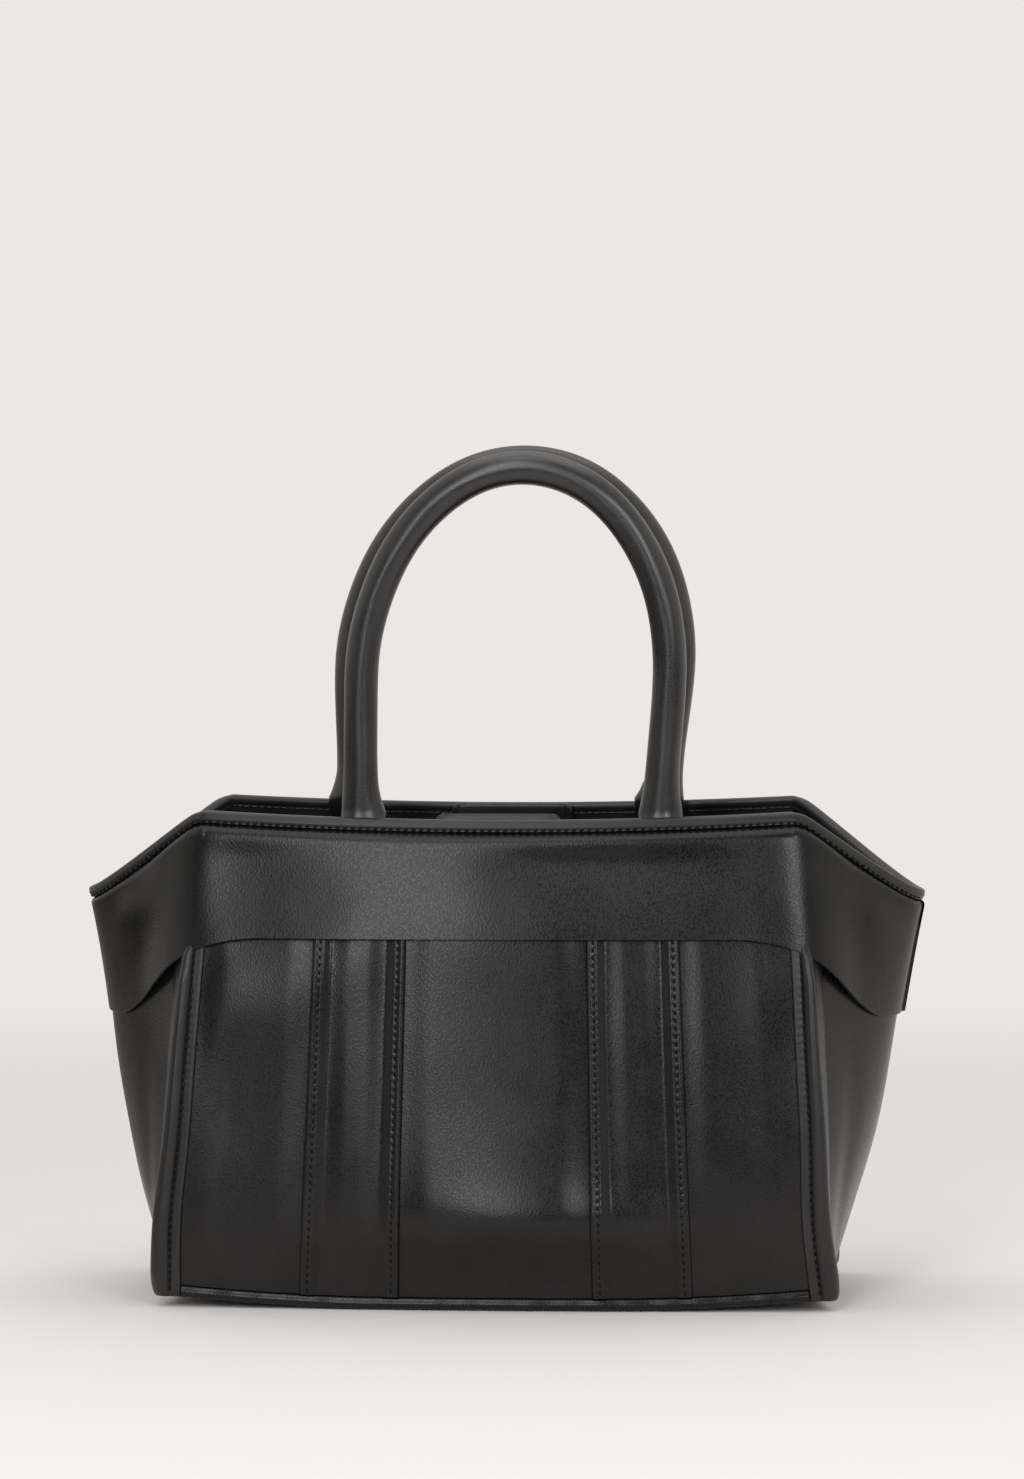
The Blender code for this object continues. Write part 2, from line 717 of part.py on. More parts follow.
def plate_section(x, middle, inward, half_width, half_thickness):
    """An eight-cornered section across a flat tab; inward is its facing direction."""
    trim = 0.35 * half_thickness
    outline = [
        (half_width - trim, half_thickness), (half_width, half_thickness - trim),
        (half_width, trim - half_thickness), (half_width - trim, -half_thickness),
        (trim - half_width, -half_thickness), (-half_width, trim - half_thickness),
        (-half_width, half_thickness - trim), (trim - half_width, half_thickness),
    ]
    return [middle + Vector((x + across, 0, 0)) + inward * depth for across, depth in outline]


def build_handle_tabs(look, group):
    """The flat ends of each handle, sewn inside the mouth below its axis."""
    for back in (False, True):
        foot, _, _, shift, _ = handle_numbers(back)
        axis = handle_axis(back)
        q = (foot + abs(shift)) / RIM_HALF_WIDTH
        lean = wall_lean(q, rim_height(q, back))
        turn = 1 if back else -1
        down = Vector((0, turn * math.sin(lean), -math.cos(lean)))
        inward = Vector((0, -turn * math.cos(lean), -math.sin(lean)))
        thick = NECK_HALF_THICKNESS
        stations = [
            (thick + GAP, 0.985, 1.0), (0.2 * HANDLE_TAB_LENGTH, 1.02, 1.0),
            (0.86 * HANDLE_TAB_LENGTH, 1.06, 1.0), (0.95 * HANDLE_TAB_LENGTH, 0.92, 1.0),
            (HANDLE_TAB_LENGTH, 0.66, 0.8),
        ]
        for sign, hand in ((-1, "left"), (1, "right")):
            base = Vector((0, axis.y, axis.z))
            x = shift + sign * foot
            sections = []
            for distance, wide, full in stations:
                half = NECK_HALF_WIDTH * wide
                middle = base + down * distance
                sections.append(plate_section(x, middle, inward, half, thick * full))
            name = ("back" if back else "front") + "_handle_tab_" + hand
            loft(name, sections, look, group)


def closure_axis(back):
    rise = BACK_CLOSURE_RISE if back else FRONT_CLOSURE_RISE
    q = CLOSURE_HALF_WIDTH / RIM_HALF_WIDTH
    top = rim_height(0.0, back)
    depth = -wall(q, top, MOUTH_FACE).y - CLOSURE_THICKNESS / 2 - GAP / 2
    return Vector((0, depth if back else -depth, top + rise - CLOSURE_THICKNESS / 2))


def build_closures(leather, steel, group):
    """A leather tab hung inside each rim, with one half of the snap on its inner face."""
    half_thickness = CLOSURE_THICKNESS / 2
    for back in (False, True):
        word = "back" if back else "front"
        axis = closure_axis(back)
        lean = wall_lean(0.2, rim_height(0.0, back))
        turn = 1 if back else -1
        down = Vector((0, turn * math.sin(lean), -math.cos(lean)))
        inward = Vector((0, -turn * math.cos(lean), -math.sin(lean)))
        stations = []
        for angle in (75, 45, 20):
            rise = half_thickness * math.sin(math.radians(angle))
            share = math.cos(math.radians(angle))
            narrow = CLOSURE_CHAMFER * (0.55 + 0.45 * rise / half_thickness)
            stations.append((-rise, CLOSURE_HALF_WIDTH - narrow, share))
        stations += [
            (0.0, CLOSURE_HALF_WIDTH - 0.5 * CLOSURE_CHAMFER, 1.0),
            (0.6 * CLOSURE_CHAMFER, CLOSURE_HALF_WIDTH, 1.0),
            (0.78 * CLOSURE_LENGTH, CLOSURE_HALF_WIDTH, 1.0),
            (0.93 * CLOSURE_LENGTH, CLOSURE_HALF_WIDTH - 0.6 * CLOSURE_CHAMFER, 1.0),
            (CLOSURE_LENGTH, CLOSURE_HALF_WIDTH - 2.2 * CLOSURE_CHAMFER, 0.75),
        ]
        sections = []
        for distance, half, full in stations:
            middle = axis + down * distance
            sections.append(plate_section(0, middle, inward, half, half_thickness * full))
        loft(word + "_closure_tab", sections, leather, group, axis)

        centre = axis + down * SNAP_DEPTH + inward * (half_thickness + GAP)
        rim = SNAP_RADIUS
        rings = [(rim, 0.0), (rim, 0.75 * SNAP_THICKNESS), (0.93 * rim, SNAP_THICKNESS)]
        if back:
            rings += [(SNAP_BOSS_RADIUS, SNAP_THICKNESS)]
            rings += [(0.94 * SNAP_BOSS_RADIUS, SNAP_THICKNESS + SNAP_BOSS_HEIGHT)]
        else:
            pocket = SNAP_BOSS_RADIUS + GAP
            rings += [(pocket, SNAP_THICKNESS), (pocket, SNAP_THICKNESS - SNAP_BOSS_HEIGHT)]
        sections = []
        for radius, out in rings:
            ring = []
            for k in range(20):
                turn_angle = 2 * math.pi * k / 20
                across = Vector((radius * math.cos(turn_angle), 0, 0))
                along = down * (radius * math.sin(turn_angle))
                ring.append(centre + across + along + inward * out)
            sections.append(ring)
        loft("snap_stud" if back else "snap_socket", sections, steel, group, axis)


def build():
    for old in list(bpy.data.objects):
        bpy.data.objects.remove(old, do_unlink=True)
    scene = bpy.context.scene
    group = bpy.data.collections.new("shoulder_bag")
    cutters = bpy.data.collections.new("cutters")
    scene.collection.children.link(group)
    scene.collection.children.link(cutters)
    cutters.hide_render = True

    leather = material("panel_leather", (0.012, 0.012, 0.013), 0.42)
    collar = material("collar_leather", (0.014, 0.014, 0.015), 0.40)
    trim = material("trim_leather", (0.018, 0.017, 0.017), 0.46)
    handle = material("handle_leather", (0.013, 0.013, 0.014), 0.38)
    lining = material("lining_cloth", (0.020, 0.019, 0.018), 0.90)
    board = material("base_board", (0.22, 0.18, 0.13), 0.85)
    filling = material("handle_filling", (0.55, 0.52, 0.46), 0.90)
    steel = material("snap_steel", (0.55, 0.55, 0.56), 0.30, 1.0)

    build_walls(leather, group)
    build_gussets(leather, group)
    build_collars(collar, group)
    build_facings(trim, group)
    build_rim_trims(trim, group)
    build_corner_trims(trim, group)
    build_base(leather, board, group)
    build_base_trims(trim, group)
    build_lining(lining, group)
    for back in (False, True):
        build_handle(back, handle, filling, group, cutters)
    build_handle_tabs(handle, group)
    build_closures(trim, steel, group)


build()
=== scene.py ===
"""Handbag with two rolled handles: its leather, thread, cloth and steel around the packed frame.

Metres, +Z up, front towards -Y. The leather follows one surface, wall(q, z, out). q runs
along the front half of the bag: 0 is the middle of the front, 1 the start of a corner, 2 its
end and 3 the wing tip, and it is negative on the left. out is the distance outside the
panels' inner face. The back is the same surface turned half round about Z.
"""
import functools
import math

import bmesh
import bpy
import numpy as np
from bpy.props import FloatProperty, FloatVectorProperty, PointerProperty
from mathutils import Matrix, Vector


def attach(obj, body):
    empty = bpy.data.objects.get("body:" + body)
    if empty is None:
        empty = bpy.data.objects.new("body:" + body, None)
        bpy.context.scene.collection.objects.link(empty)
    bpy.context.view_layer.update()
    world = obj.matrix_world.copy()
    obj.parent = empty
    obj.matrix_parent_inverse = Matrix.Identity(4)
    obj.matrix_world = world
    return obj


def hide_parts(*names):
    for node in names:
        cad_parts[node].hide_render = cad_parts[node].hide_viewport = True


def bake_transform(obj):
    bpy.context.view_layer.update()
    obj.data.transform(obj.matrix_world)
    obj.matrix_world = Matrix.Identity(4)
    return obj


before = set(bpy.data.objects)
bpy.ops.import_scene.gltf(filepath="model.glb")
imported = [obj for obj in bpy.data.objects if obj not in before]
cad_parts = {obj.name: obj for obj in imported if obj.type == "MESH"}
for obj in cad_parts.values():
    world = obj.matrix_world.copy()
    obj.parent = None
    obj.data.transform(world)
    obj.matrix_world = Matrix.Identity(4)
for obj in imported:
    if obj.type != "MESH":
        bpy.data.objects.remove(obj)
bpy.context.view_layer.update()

bl_info = {
    "name": "Rolled Handle Handbag",
    "version": (1, 0, 0),
    "blender": (4, 5, 0),
    "location": "View3D > Sidebar > Handbag",
    "description": "Models the leather, thread, lining and steel of a handbag around its frame",
    "category": "Add Mesh",
}

# Body, as in the frame
BASE_HALF_WIDTH = 0.1296
RIM_HALF_WIDTH = BASE_HALF_WIDTH - 0.0130
HALF_DEPTH = 0.0619
BASE_HALF_DEPTH = HALF_DEPTH - 0.0074
UPPER_HALF_DEPTH = HALF_DEPTH - 0.0070
MOUTH_HALF_DEPTH = HALF_DEPTH - 0.0189
WALL_BULGE = 0.006
CORNER_RADIUS = 0.004
FRONT_RIM_HEIGHT = 0.1983
BACK_RIM_HEIGHT = 0.2008
RIM_DIP = 0.0033
WING_TIP_HEIGHT = 0.165
WING_BEYOND = (-0.0006, 0.0270, 0.0254, 0.0391)
WING_TIP_ROUNDING = 0.14
WING_BASE_ROUNDING = 1.1
BASE_FLAT_HALF_LENGTH = 0.050
BASE_END_LIFT = 0.0039
BASE_PANEL_THICKNESS = 0.0016
BASE_BOARD_THICKNESS = 0.0020

# Leather and clearances, as in the frame
LEATHER = 0.0014
COLLAR_LEATHER = 0.0016
FACING_LEATHER = 0.0012
LINING_CLOTH = 0.0008
GAP = 0.00035
LAYER = LEATHER + GAP
STRIP_INNER_EDGE = 0.0385
STRIP_OUTER_EDGE = 0.0788
PANEL_UNDER_LAP = 0.0048
PANEL_TOP_BELOW_RIM = 0.014
COLLAR_DROP = 0.0467
COLLAR_WING_DROP = 0.0335
COLLAR_FALL_START = 0.80
COLLAR_FALL_RUN = 0.93
CORNER_RUN = 0.08
COLLAR_WING_STAND_OFF = 0.0021
COLLAR_WING_START = 2.06
COLLAR_WING_RUN = 0.4
RIM_BEND_START = 0.04
RIM_BEND_SOFTNESS = 0.055
RIM_BEND_SLOPE = 1.3
RIM_TRIM_LEATHER = 0.0010
RIM_STACK_TOP = 0.0018
CORNER_TRIM_LEATHER = 0.0013
CORNER_TRIM_FRONT_FLANGE = 0.0037
CORNER_TRIM_ROLL = 0.0025
CORNER_TRIM_END = 2.10
BASE_TRIM_HEIGHT = 0.0050
BASE_TRIM_DEPTH = 0.0036
FACING_DEPTH = 0.038
LINING_TOP_BELOW_RIM = 0.013
LINING_SLACK = 0.0005
COLLAR_OUT = 2 * LAYER + 0.5 * GAP
ROLL_OUT = LAYER + CORNER_TRIM_LEATHER + CORNER_TRIM_ROLL
RIM_INNER_FACE = -GAP - FACING_LEATHER - GAP - RIM_TRIM_LEATHER
FACING_INNER_FACE = -GAP - LINING_SLACK - LINING_CLOTH - 2 * GAP - FACING_LEATHER
MOUTH_FACE = min(RIM_INNER_FACE, FACING_INNER_FACE) - 1.5 * GAP

# Handles, closure tabs and snap, as in the frame
TUBE_RADIUS = 0.0068
TUBE_LEATHER = 0.0013
NECK_HALF_THICKNESS = 0.0016
NECK_HALF_WIDTH = 0.0085
NECK_LENGTH = 0.0095
NECK_GROWTH = 0.0150
LEG_HEIGHT = 0.055
# Half the span at the rim, then over the arch, height, shift and lean; False is the front
HANDLE_SIZES = {
    False: (0.0606, 0.0620, 0.1384, 0.0043, 0.0056),
    True: (0.0648, 0.0684, 0.1400, -0.0011, 0.0066),
}
HANDLE_TAB_LENGTH = 0.038
HANDLE_RIM_CLEARANCE = 0.0005
CLOSURE_HALF_WIDTH = 0.0255
CLOSURE_LENGTH = 0.040
CLOSURE_THICKNESS = 0.0030
CLOSURE_RISE = {False: 0.0030, True: 0.0008}
SNAP_RADIUS = 0.009
SNAP_THICKNESS = 0.0022
SNAP_BOSS_RADIUS = 0.0042
SNAP_BOSS_HEIGHT = 0.0012
SNAP_DEPTH = 0.022

# Where the seams lie, and the padded roll beside one
STRIP_SEAM = 0.0034
CORNER_SEAM_Q = 1.06
CORNER_ROLL_START = 1.10
WING_SEAM_Q = 2.956
RIM_SEAM_DROP = 0.0033
FACING_SEAM_DEPTH = 0.0362
CLOSURE_SEAM = 0.0028
HANDLE_TAB_SEAM = 0.0022
STITCHES_UNDER_COLLAR = 0.006
STITCH_LEAN = 0.10

# Softer, rounder, fuller or thinner than in the frame
RIM_TRIM_HEIGHT = 0.0040
RIM_CROWN = 0.0024
RIM_CROWN_RISE = 0.0009
COLLAR_SHOULDER = 0.0038
COLLAR_CORNER_OUT = ROLL_OUT - 0.0006
COLLAR_SEAM_EDGE = 0.0013
ROLL_FULLER_BELOW_COLLAR = 0.45
ROLL_PRESSED_UNDER_COLLAR = 0.7
CLOSURE_TOP_CORNER = 0.0045
CLOSURE_FOOT_CORNER = 0.0100

# How finely the pieces are cut
ROWS_PER_STITCH = 4
MERGE_DISTANCE = 1e-6

SIDES = ((False, "front"), (True, "back"))

# Colour setting, shares of the grain's width and depth, roughness, specular level and turn
LEATHERS = {
    "panel": ("panel_colour", 1.0, 1.0, 0.22, 0.35, 0.6),
    "collar": ("panel_colour", 1.08, 1.0, 0.22, 0.35, 0.5),
    "trim": ("trim_colour", 0.8, 0.6, 0.32, 0.52, 0.6),
    "handle": ("trim_colour", 0.7, 0.6, 0.28, 0.78, 0.6),
}

# Camera, as found from the photograph
CAMERA_DISTANCE = 2.2
CAMERA_AZIMUTH = math.radians(3.4)
CAMERA_HEIGHT = 0.30
CAMERA_AIM = Vector((0.006, -0.055, 0.228))
CAMERA_LENS = 133.95
CAMERA_SENSOR = 36.0


class LeatherSettings(bpy.types.PropertyGroup):
    """Colours and grain of the leather."""

    panel_colour: FloatVectorProperty(
        name="Panel colour", description="Leather of the walls and the collar",
        subtype="COLOR", size=3, min=0, max=1, default=(0.0062, 0.0058, 0.0056),
    )
    trim_colour: FloatVectorProperty(
        name="Trim colour", description="Leather of the rim, corner and base trims",
        subtype="COLOR", size=3, min=0, max=1, default=(0.0075, 0.0070, 0.0066),
    )
    edge_colour: FloatVectorProperty(
        name="Edge paint", description="Paint on the cut edges",
        subtype="COLOR", size=3, min=0, max=1, default=(0.0090, 0.0086, 0.0084),
    )
    grain: FloatProperty(
        name="Grain", description="Width of one pebble of the grain",
        subtype="DISTANCE", unit="LENGTH", default=0.00085, min=0.0002,
    )
    grain_depth: FloatProperty(
        name="Grain depth", description="Depth of the furrows between pebbles",
        subtype="DISTANCE", unit="LENGTH", default=0.000015, min=0.0,
    )
    puff: FloatProperty(
        name="Puff", description="How far a panel stands proud between its seams",
        subtype="DISTANCE", unit="LENGTH", default=0.0007, min=0.0,
    )


class ThreadSettings(bpy.types.PropertyGroup):
    """Size and colour of the stitches."""

    pitch: FloatProperty(
        name="Pitch", description="Distance from one stitch to the next",
        subtype="DISTANCE", unit="LENGTH", default=0.0031, min=0.001,
    )
    length: FloatProperty(
        name="Length", description="Length of the thread that shows in one stitch",
        subtype="DISTANCE", unit="LENGTH", default=0.0021, min=0.0005,
    )
    thickness: FloatProperty(
        name="Thickness", description="Width of the thread",
        subtype="DISTANCE", unit="LENGTH", default=0.00075, min=0.0001,
    )
    groove: FloatProperty(
        name="Groove", description="How deep the thread pulls the leather in",
        subtype="DISTANCE", unit="LENGTH", default=0.00055, min=0.0,
    )
    colour: FloatVectorProperty(
        name="Thread colour", description="Colour of the sewing thread",
        subtype="COLOR", size=3, min=0, max=1, default=(0.0030, 0.0029, 0.0028),
    )


class HandleSettings(bpy.types.PropertyGroup):
    """Shape of the two rolled handles where they leave the mouth."""

    foot_fullness: FloatProperty(
        name="Foot fullness", description="How far a leg reaches into the bag at the rim",
        subtype="DISTANCE", unit="LENGTH", default=0.0120, min=0.002,
    )
    foot_half_width: FloatProperty(
        name="Foot half width", description="Half the width of a leg where it enters the mouth",
        subtype="DISTANCE", unit="LENGTH", default=0.0074, min=0.004,
    )


class StageSettings(bpy.types.PropertyGroup):
    """Floor, background and lights."""

    backdrop: FloatVectorProperty(
        name="Backdrop", description="Colour of the floor and the background",
        subtype="COLOR", size=3, min=0, max=1, default=(0.831, 0.799, 0.775),
    )
    key_power: FloatProperty(
        name="Key power", description="Strength of the tall light beside the camera",
        unit="POWER", default=17.5, min=0.0,
    )
    side_power: FloatProperty(
        name="Side power", description="Strength of the light to the right of the camera",
        unit="POWER", default=13.0, min=0.0,
    )
    top_power: FloatProperty(
        name="Overhead power", description="Strength of the light above the bag",
        unit="POWER", default=9.0, min=0.0,
    )
    high_power: FloatProperty(
        name="High power", description="Strength of the light above the camera",
        unit="POWER", default=6.0, min=0.0,
    )


def eased(value):
    """0 below 0, 1 above 1, and a smooth rise between."""
    value = np.clip(value, 0.0, 1.0)
    return value * value * (3 - 2 * value)


def bezier(values, u):
    """A cubic through four control values, carried on straight past either end."""
    a, b, c, d = values
    k = 1 - u
    inside = k ** 3 * a + 3 * k * k * u * b + 3 * k * u * u * c + u ** 3 * d
    beyond = np.where(u > 1, d + 3 * (d - c) * (u - 1), a + 3 * (b - a) * u)
    return np.where((u > 1) | (u < 0), beyond, inside)


def corner_x(z):
    return BASE_HALF_WIDTH + (RIM_HALF_WIDTH - BASE_HALF_WIDTH) * z / FRONT_RIM_HEIGHT


def corner_y(z):
    depths = (BASE_HALF_DEPTH, HALF_DEPTH, UPPER_HALF_DEPTH, MOUTH_HALF_DEPTH)
    return bezier(depths, z / FRONT_RIM_HEIGHT)


def wing_x(z):
    return BASE_HALF_WIDTH + bezier(WING_BEYOND, z / WING_TIP_HEIGHT)


def wing_rounding(z):
    share = np.clip(z / WING_TIP_HEIGHT, 0.0, 1.0)
    return WING_BASE_ROUNDING + (WING_TIP_ROUNDING - WING_BASE_ROUNDING) * np.sqrt(share)


def wing_share(along, z):
    """How far out the wing has come at q, from 0 at the corner to 1 at the tip."""
    v = np.clip(along - 3, -1.0, 0.0)
    r = wing_rounding(z)
    top = np.sqrt(1 + r * r)
    return 1 - (np.sqrt(v * v + r * r) - r) / (top - r)


def settled(x, z):
    """How far the ends of the standing bag lean sideways from where they were cut."""
    lean = -0.0021 * dent(z - 0.036, 0.030) - 0.0006 * dent(z - 0.095, 0.030)
    return lean * eased((np.abs(x) - 0.078) / 0.050)


def wall(q, z, out, back=False):
    """Points on the bag's wall, moved outwards by out in the horizontal plane.

    back is one truth value, or one for each point.
    """
    q, z, out = np.broadcast_arrays(*[np.asarray(v, dtype=float) for v in (q, z, out)])
    side = np.where(q < 0, -1.0, 1.0)
    along = np.abs(q)
    across = np.minimum(along, 1.0)
    half_width = corner_x(z)
    half_depth = corner_y(z)
    v = np.clip(along - 3, -1.0, 0.0)
    r = wing_rounding(z)
    run = wing_x(z) - CORNER_RADIUS - half_width
    slope = -run * v / np.sqrt(v * v + r * r) / (np.sqrt(1 + r * r) - r)
    start = np.arctan2(-half_width, 2 * WALL_BULGE * across)
    end = np.arctan2(-slope, half_depth)
    turn = start + (end - start) * np.clip(along - 1, 0.0, 1.0)
    on_wing = along > 1
    x = np.where(on_wing, half_width + run * wing_share(along, z), across * half_width)
    y = np.where(on_wing, half_depth * v, -half_depth - WALL_BULGE * (1 - across * across))
    x = x + np.cos(turn) * (CORNER_RADIUS + out)
    y = y + np.sin(turn) * (CORNER_RADIUS + out)
    y = np.where(along >= 3, 0.0, y)
    turned = np.where(back, -1.0, 1.0)
    x = turned * side * x
    return np.stack([x + settled(x, z), turned * y, z], axis=-1)


def rim_height(q, back=False):
    """Height of the rim's top edge: a shallow dip, a soft bend and a long slope to the tip."""
    along = np.abs(q)
    full = BACK_RIM_HEIGHT if back else FRONT_RIM_HEIGHT
    dip = RIM_DIP * (1 - np.minimum(along, 1.0) ** 2)
    past = np.where(along > 2, wing_share(along, WING_TIP_HEIGHT), 0.1 * (along - 2))
    run = (past - RIM_BEND_START) / (1 - RIM_BEND_START)
    run = (run + np.sqrt(run * run + RIM_BEND_SOFTNESS ** 2)) / 2
    fall = RIM_BEND_SLOPE * run + (1 - RIM_BEND_SLOPE) * run * run
    return full - dip + (WING_TIP_HEIGHT - full) * fall


def collar_height(q):
    """Height of the collar's lower edge, which turns up a little at the wing tip."""
    q = np.abs(q)
    top = FRONT_RIM_HEIGHT - RIM_DIP - COLLAR_DROP
    along = np.minimum(q, 1.0) + CORNER_RUN * np.clip(q - 1, 0.0, 1.0)
    along = along + (1 - CORNER_RUN) * np.maximum(0.0, q - 2)
    fall = COLLAR_WING_DROP * eased((along - COLLAR_FALL_START) / COLLAR_FALL_RUN)
    return top - fall + 0.0014 * np.clip((q - 2.84) / 0.16, 0.0, 1.0) ** 2


def lift(x):
    """How far the base stands off the table at x."""
    beyond = np.maximum(0.0, np.abs(x) - BASE_FLAT_HALF_LENGTH)
    return BASE_END_LIFT * (beyond / (BASE_HALF_WIDTH - BASE_FLAT_HALF_LENGTH)) ** 1.6


def foot_height(q):
    return lift(wall(q, 0.0, 0.0)[..., 0])


def swells(x, z, spots):
    """Soft rises and hollows: each spot is its middle, its two radii and its height."""
    total = 0.0
    for x0, z0, wide, tall, height in spots:
        total = total + height * np.exp(-((x - x0) / wide) ** 2 - ((z - z0) / tall) ** 2)
    return total


FRONT_SWELLS = (
    (0.002, 0.044, 0.060, 0.029, 0.0031),
    (0.017, 0.034, 0.051, 0.014, 0.0034),
    (-0.059, 0.085, 0.017, 0.040, 0.0003),
    (-0.109, 0.082, 0.037, 0.039, -0.0020),
    (-0.125, 0.129, 0.041, 0.025, 0.0013),
    (-0.070, 0.147, 0.024, 0.025, 0.0016),
    (0.024, 0.146, 0.026, 0.057, -0.0013),
    (0.054, 0.067, 0.023, 0.041, -0.0011),
    (0.070, 0.139, 0.032, 0.058, -0.0009),
    (0.129, 0.086, 0.026, 0.042, -0.0030),
    (0.128, 0.146, 0.042, 0.024, -0.0013),
    (-0.121, 0.167, 0.045, 0.032, -0.0018),
    (-0.074, 0.157, 0.017, 0.014, -0.0006),
    (-0.008, 0.157, 0.044, 0.025, 0.0015),
    (0.024, 0.145, 0.021, 0.028, 0.0010),
    (0.042, 0.177, 0.059, 0.014, -0.0015),
)
BACK_SWELLS = (
    (0.020, 0.075, 0.050, 0.040, 0.0022),
    (-0.060, 0.110, 0.035, 0.035, -0.0010),
    (0.085, 0.060, 0.030, 0.045, 0.0009),
    (-0.030, 0.165, 0.035, 0.030, 0.0014),
    (-0.095, 0.060, 0.025, 0.040, -0.0009),
)


def softness(q, z, back, end=1.0, fade=0.15):
    """How far the stuffed walls swell or sink; it fades out towards end, the base and the rim."""
    spots = BACK_SWELLS if back else FRONT_SWELLS
    below = rim_height(q, back) - z
    edge = eased((end - np.abs(q)) / fade) * eased((z - 0.008) / 0.02)
    edge = edge * eased((below - 0.004) / 0.014)
    return swells(q * BASE_HALF_WIDTH, z, spots) * edge


def waves(position, pitch):
    """1 at the middle of each stitch and 0 between two stitches."""
    return 0.5 + 0.5 * np.cos(2 * math.pi * (position / pitch - 0.5))


def dent(distance, width):
    return np.exp(-((distance / width) ** 2))


def distance_along(points):
    """Distance run along a line, at each of its points."""
    return np.concatenate([[0.0], np.cumsum(np.linalg.norm(np.diff(points, axis=0), axis=1))])


def seam_groove(distance, width, z, thread):
    """How deep a row of stitches pulls the leather in: most at the middle of each stitch."""
    return thread.groove * dent(distance, width) * (0.55 + 0.45 * waves(z, thread.pitch))


def parted(points, q, back):
    """Moves the points at the wing tips half a gap away from the other half of the bag."""
    points[..., 1] += np.where(np.abs(q) > 2.9999, GAP / 2 if back else -GAP / 2, 0.0)
    return points


def hands(back):
    """For both ends of a wall, the sign of q there and the hand it is on, seen from the front."""
    return ((1, "left"), (-1, "right")) if back else ((1, "right"), (-1, "left"))


def add_piece(name, bm, looks, body="bag", sharp=38):
    """Makes a finished mesh from bm, shades it, and lets it ride with its body."""
    mesh = bpy.data.meshes.new(name)
    bm.to_mesh(mesh)
    bm.free()
    for look in looks:
        mesh.materials.append(look)
    mesh.shade_smooth()
    mesh.set_sharp_from_angle(angle=math.radians(sharp))
    piece = bpy.data.objects.new(name, mesh)
    bpy.context.scene.collection.objects.link(piece)
    if body:
        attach(piece, body)
    return piece


def stand_in(node, bm, looks, body="bag", sharp=38):
    """A finished piece of leather in place of the frame's solid of that name."""
    piece = add_piece(node + "_leather", bm, looks, body, sharp)
    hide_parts(node)
    return piece


def laid_grid(columns, rows, place, painted=None):
    """A bmesh grid laid over place(column, row); painted columns get the second material."""
    bm = bmesh.new()
    bmesh.ops.create_grid(bm, x_segments=columns - 1, y_segments=rows - 1, size=0.5)
    spots = np.array([vertex.co[:2] for vertex in bm.verts]) + 0.5
    column = np.rint(spots[:, 0] * (columns - 1)).astype(int)
    row = np.rint(spots[:, 1] * (rows - 1)).astype(int)
    if painted is not None:
        first, last = painted
        for face in bm.faces:
            middle = (face.calc_center_median().x + 0.5) * (columns - 1)
            if first < middle < last:
                face.material_index = 1
    for vertex, point in zip(bm.verts, place(column, row)):
        vertex.co = point
    return bm


def skin(ring, stations, place, painted=None):
    """A closed skin through rings of points, joined round each ring and capped at both ends."""
    bm = laid_grid(ring + 1, stations, lambda k, s: place(k % ring, s), painted)
    bmesh.ops.remove_doubles(bm, verts=bm.verts, dist=MERGE_DISTANCE)
    open_edges = [edge for edge in bm.edges if edge.is_boundary]
    caps = bmesh.ops.holes_fill(bm, edges=open_edges, sides=0)
    for face in caps["faces"]:
        face.material_index = 0 if painted is None else 1
    bmesh.ops.recalc_face_normals(bm, faces=bm.faces)
    return bm


def steps(start, end, spacing):
    count = max(2, int(math.ceil(abs(end - start) / spacing)) + 1)
    return np.linspace(start, end, count)


def edge_steps(width, spacing):
    """Distances across a band, close together at both of its rounded edges."""
    near = np.array([0.0, 0.00012, 0.0003, 0.00055, 0.0009, 0.0014])
    middle = steps(near[-1], width - near[-1], spacing)[1:-1]
    return np.concatenate([near, middle, width - near[::-1]])


def rounded(near, radius):
    """0 at an edge and 1 from one radius in, along a quarter of a circle."""
    return np.sqrt(np.clip(1 - (1 - np.clip(near / radius, 0, 1)) ** 2, 0, 1))


def squared_off(value, power):
    """A sine or cosine raised to a power with its sign kept, which squares off a round section."""
    return np.sign(value) * np.abs(value) ** power


def stitch_row(context, name, points, normals, body="bag"):
    """Stitches centred on points along a seam; normals say which way is out of the leather."""
    thread = context.scene.bag_thread
    bm = bmesh.new()
    last = len(points) - 1
    for k, (point, normal) in enumerate(zip(points, normals)):
        ahead = Vector(points[min(k + 1, last)]) - Vector(points[max(k - 1, 0)])
        up = Vector(normal).normalized()
        along = (ahead - up * ahead.dot(up)).normalized()
        across = up.cross(along)
        along = (along + across * STITCH_LEAN).normalized()
        across = up.cross(along)
        turn = Matrix((along, across, up)).transposed().to_4x4()
        size = Matrix.Diagonal((thread.length / 2, thread.thickness / 2, thread.thickness / 2, 1))
        place = Matrix.Translation(Vector(point)) @ turn @ size
        bmesh.ops.create_uvsphere(bm, u_segments=8, v_segments=6, radius=1.0, matrix=place)
    return add_piece(name, bm, [thread_look(context)], body, sharp=80)


def wall_seam(q, z, out, back):
    """Points on the wall and the way out of it there."""
    here = wall(q, z, out, back)
    outward = wall(q, z, out + 0.001, back) - here
    return here, outward


def sew_upright(context, name, q, back, bottom, height):
    """A row of stitches up the wall at q, from bottom until it is well under the collar."""
    thread = context.scene.bag_thread
    top = float(collar_height(q)) + STITCHES_UNDER_COLLAR
    first, last = math.ceil(bottom / thread.pitch), int(top / thread.pitch)
    z = (np.arange(first, last) + 0.5) * thread.pitch
    points, normals = wall_seam(q, z, height(z), back)
    stitch_row(context, name, points, normals)


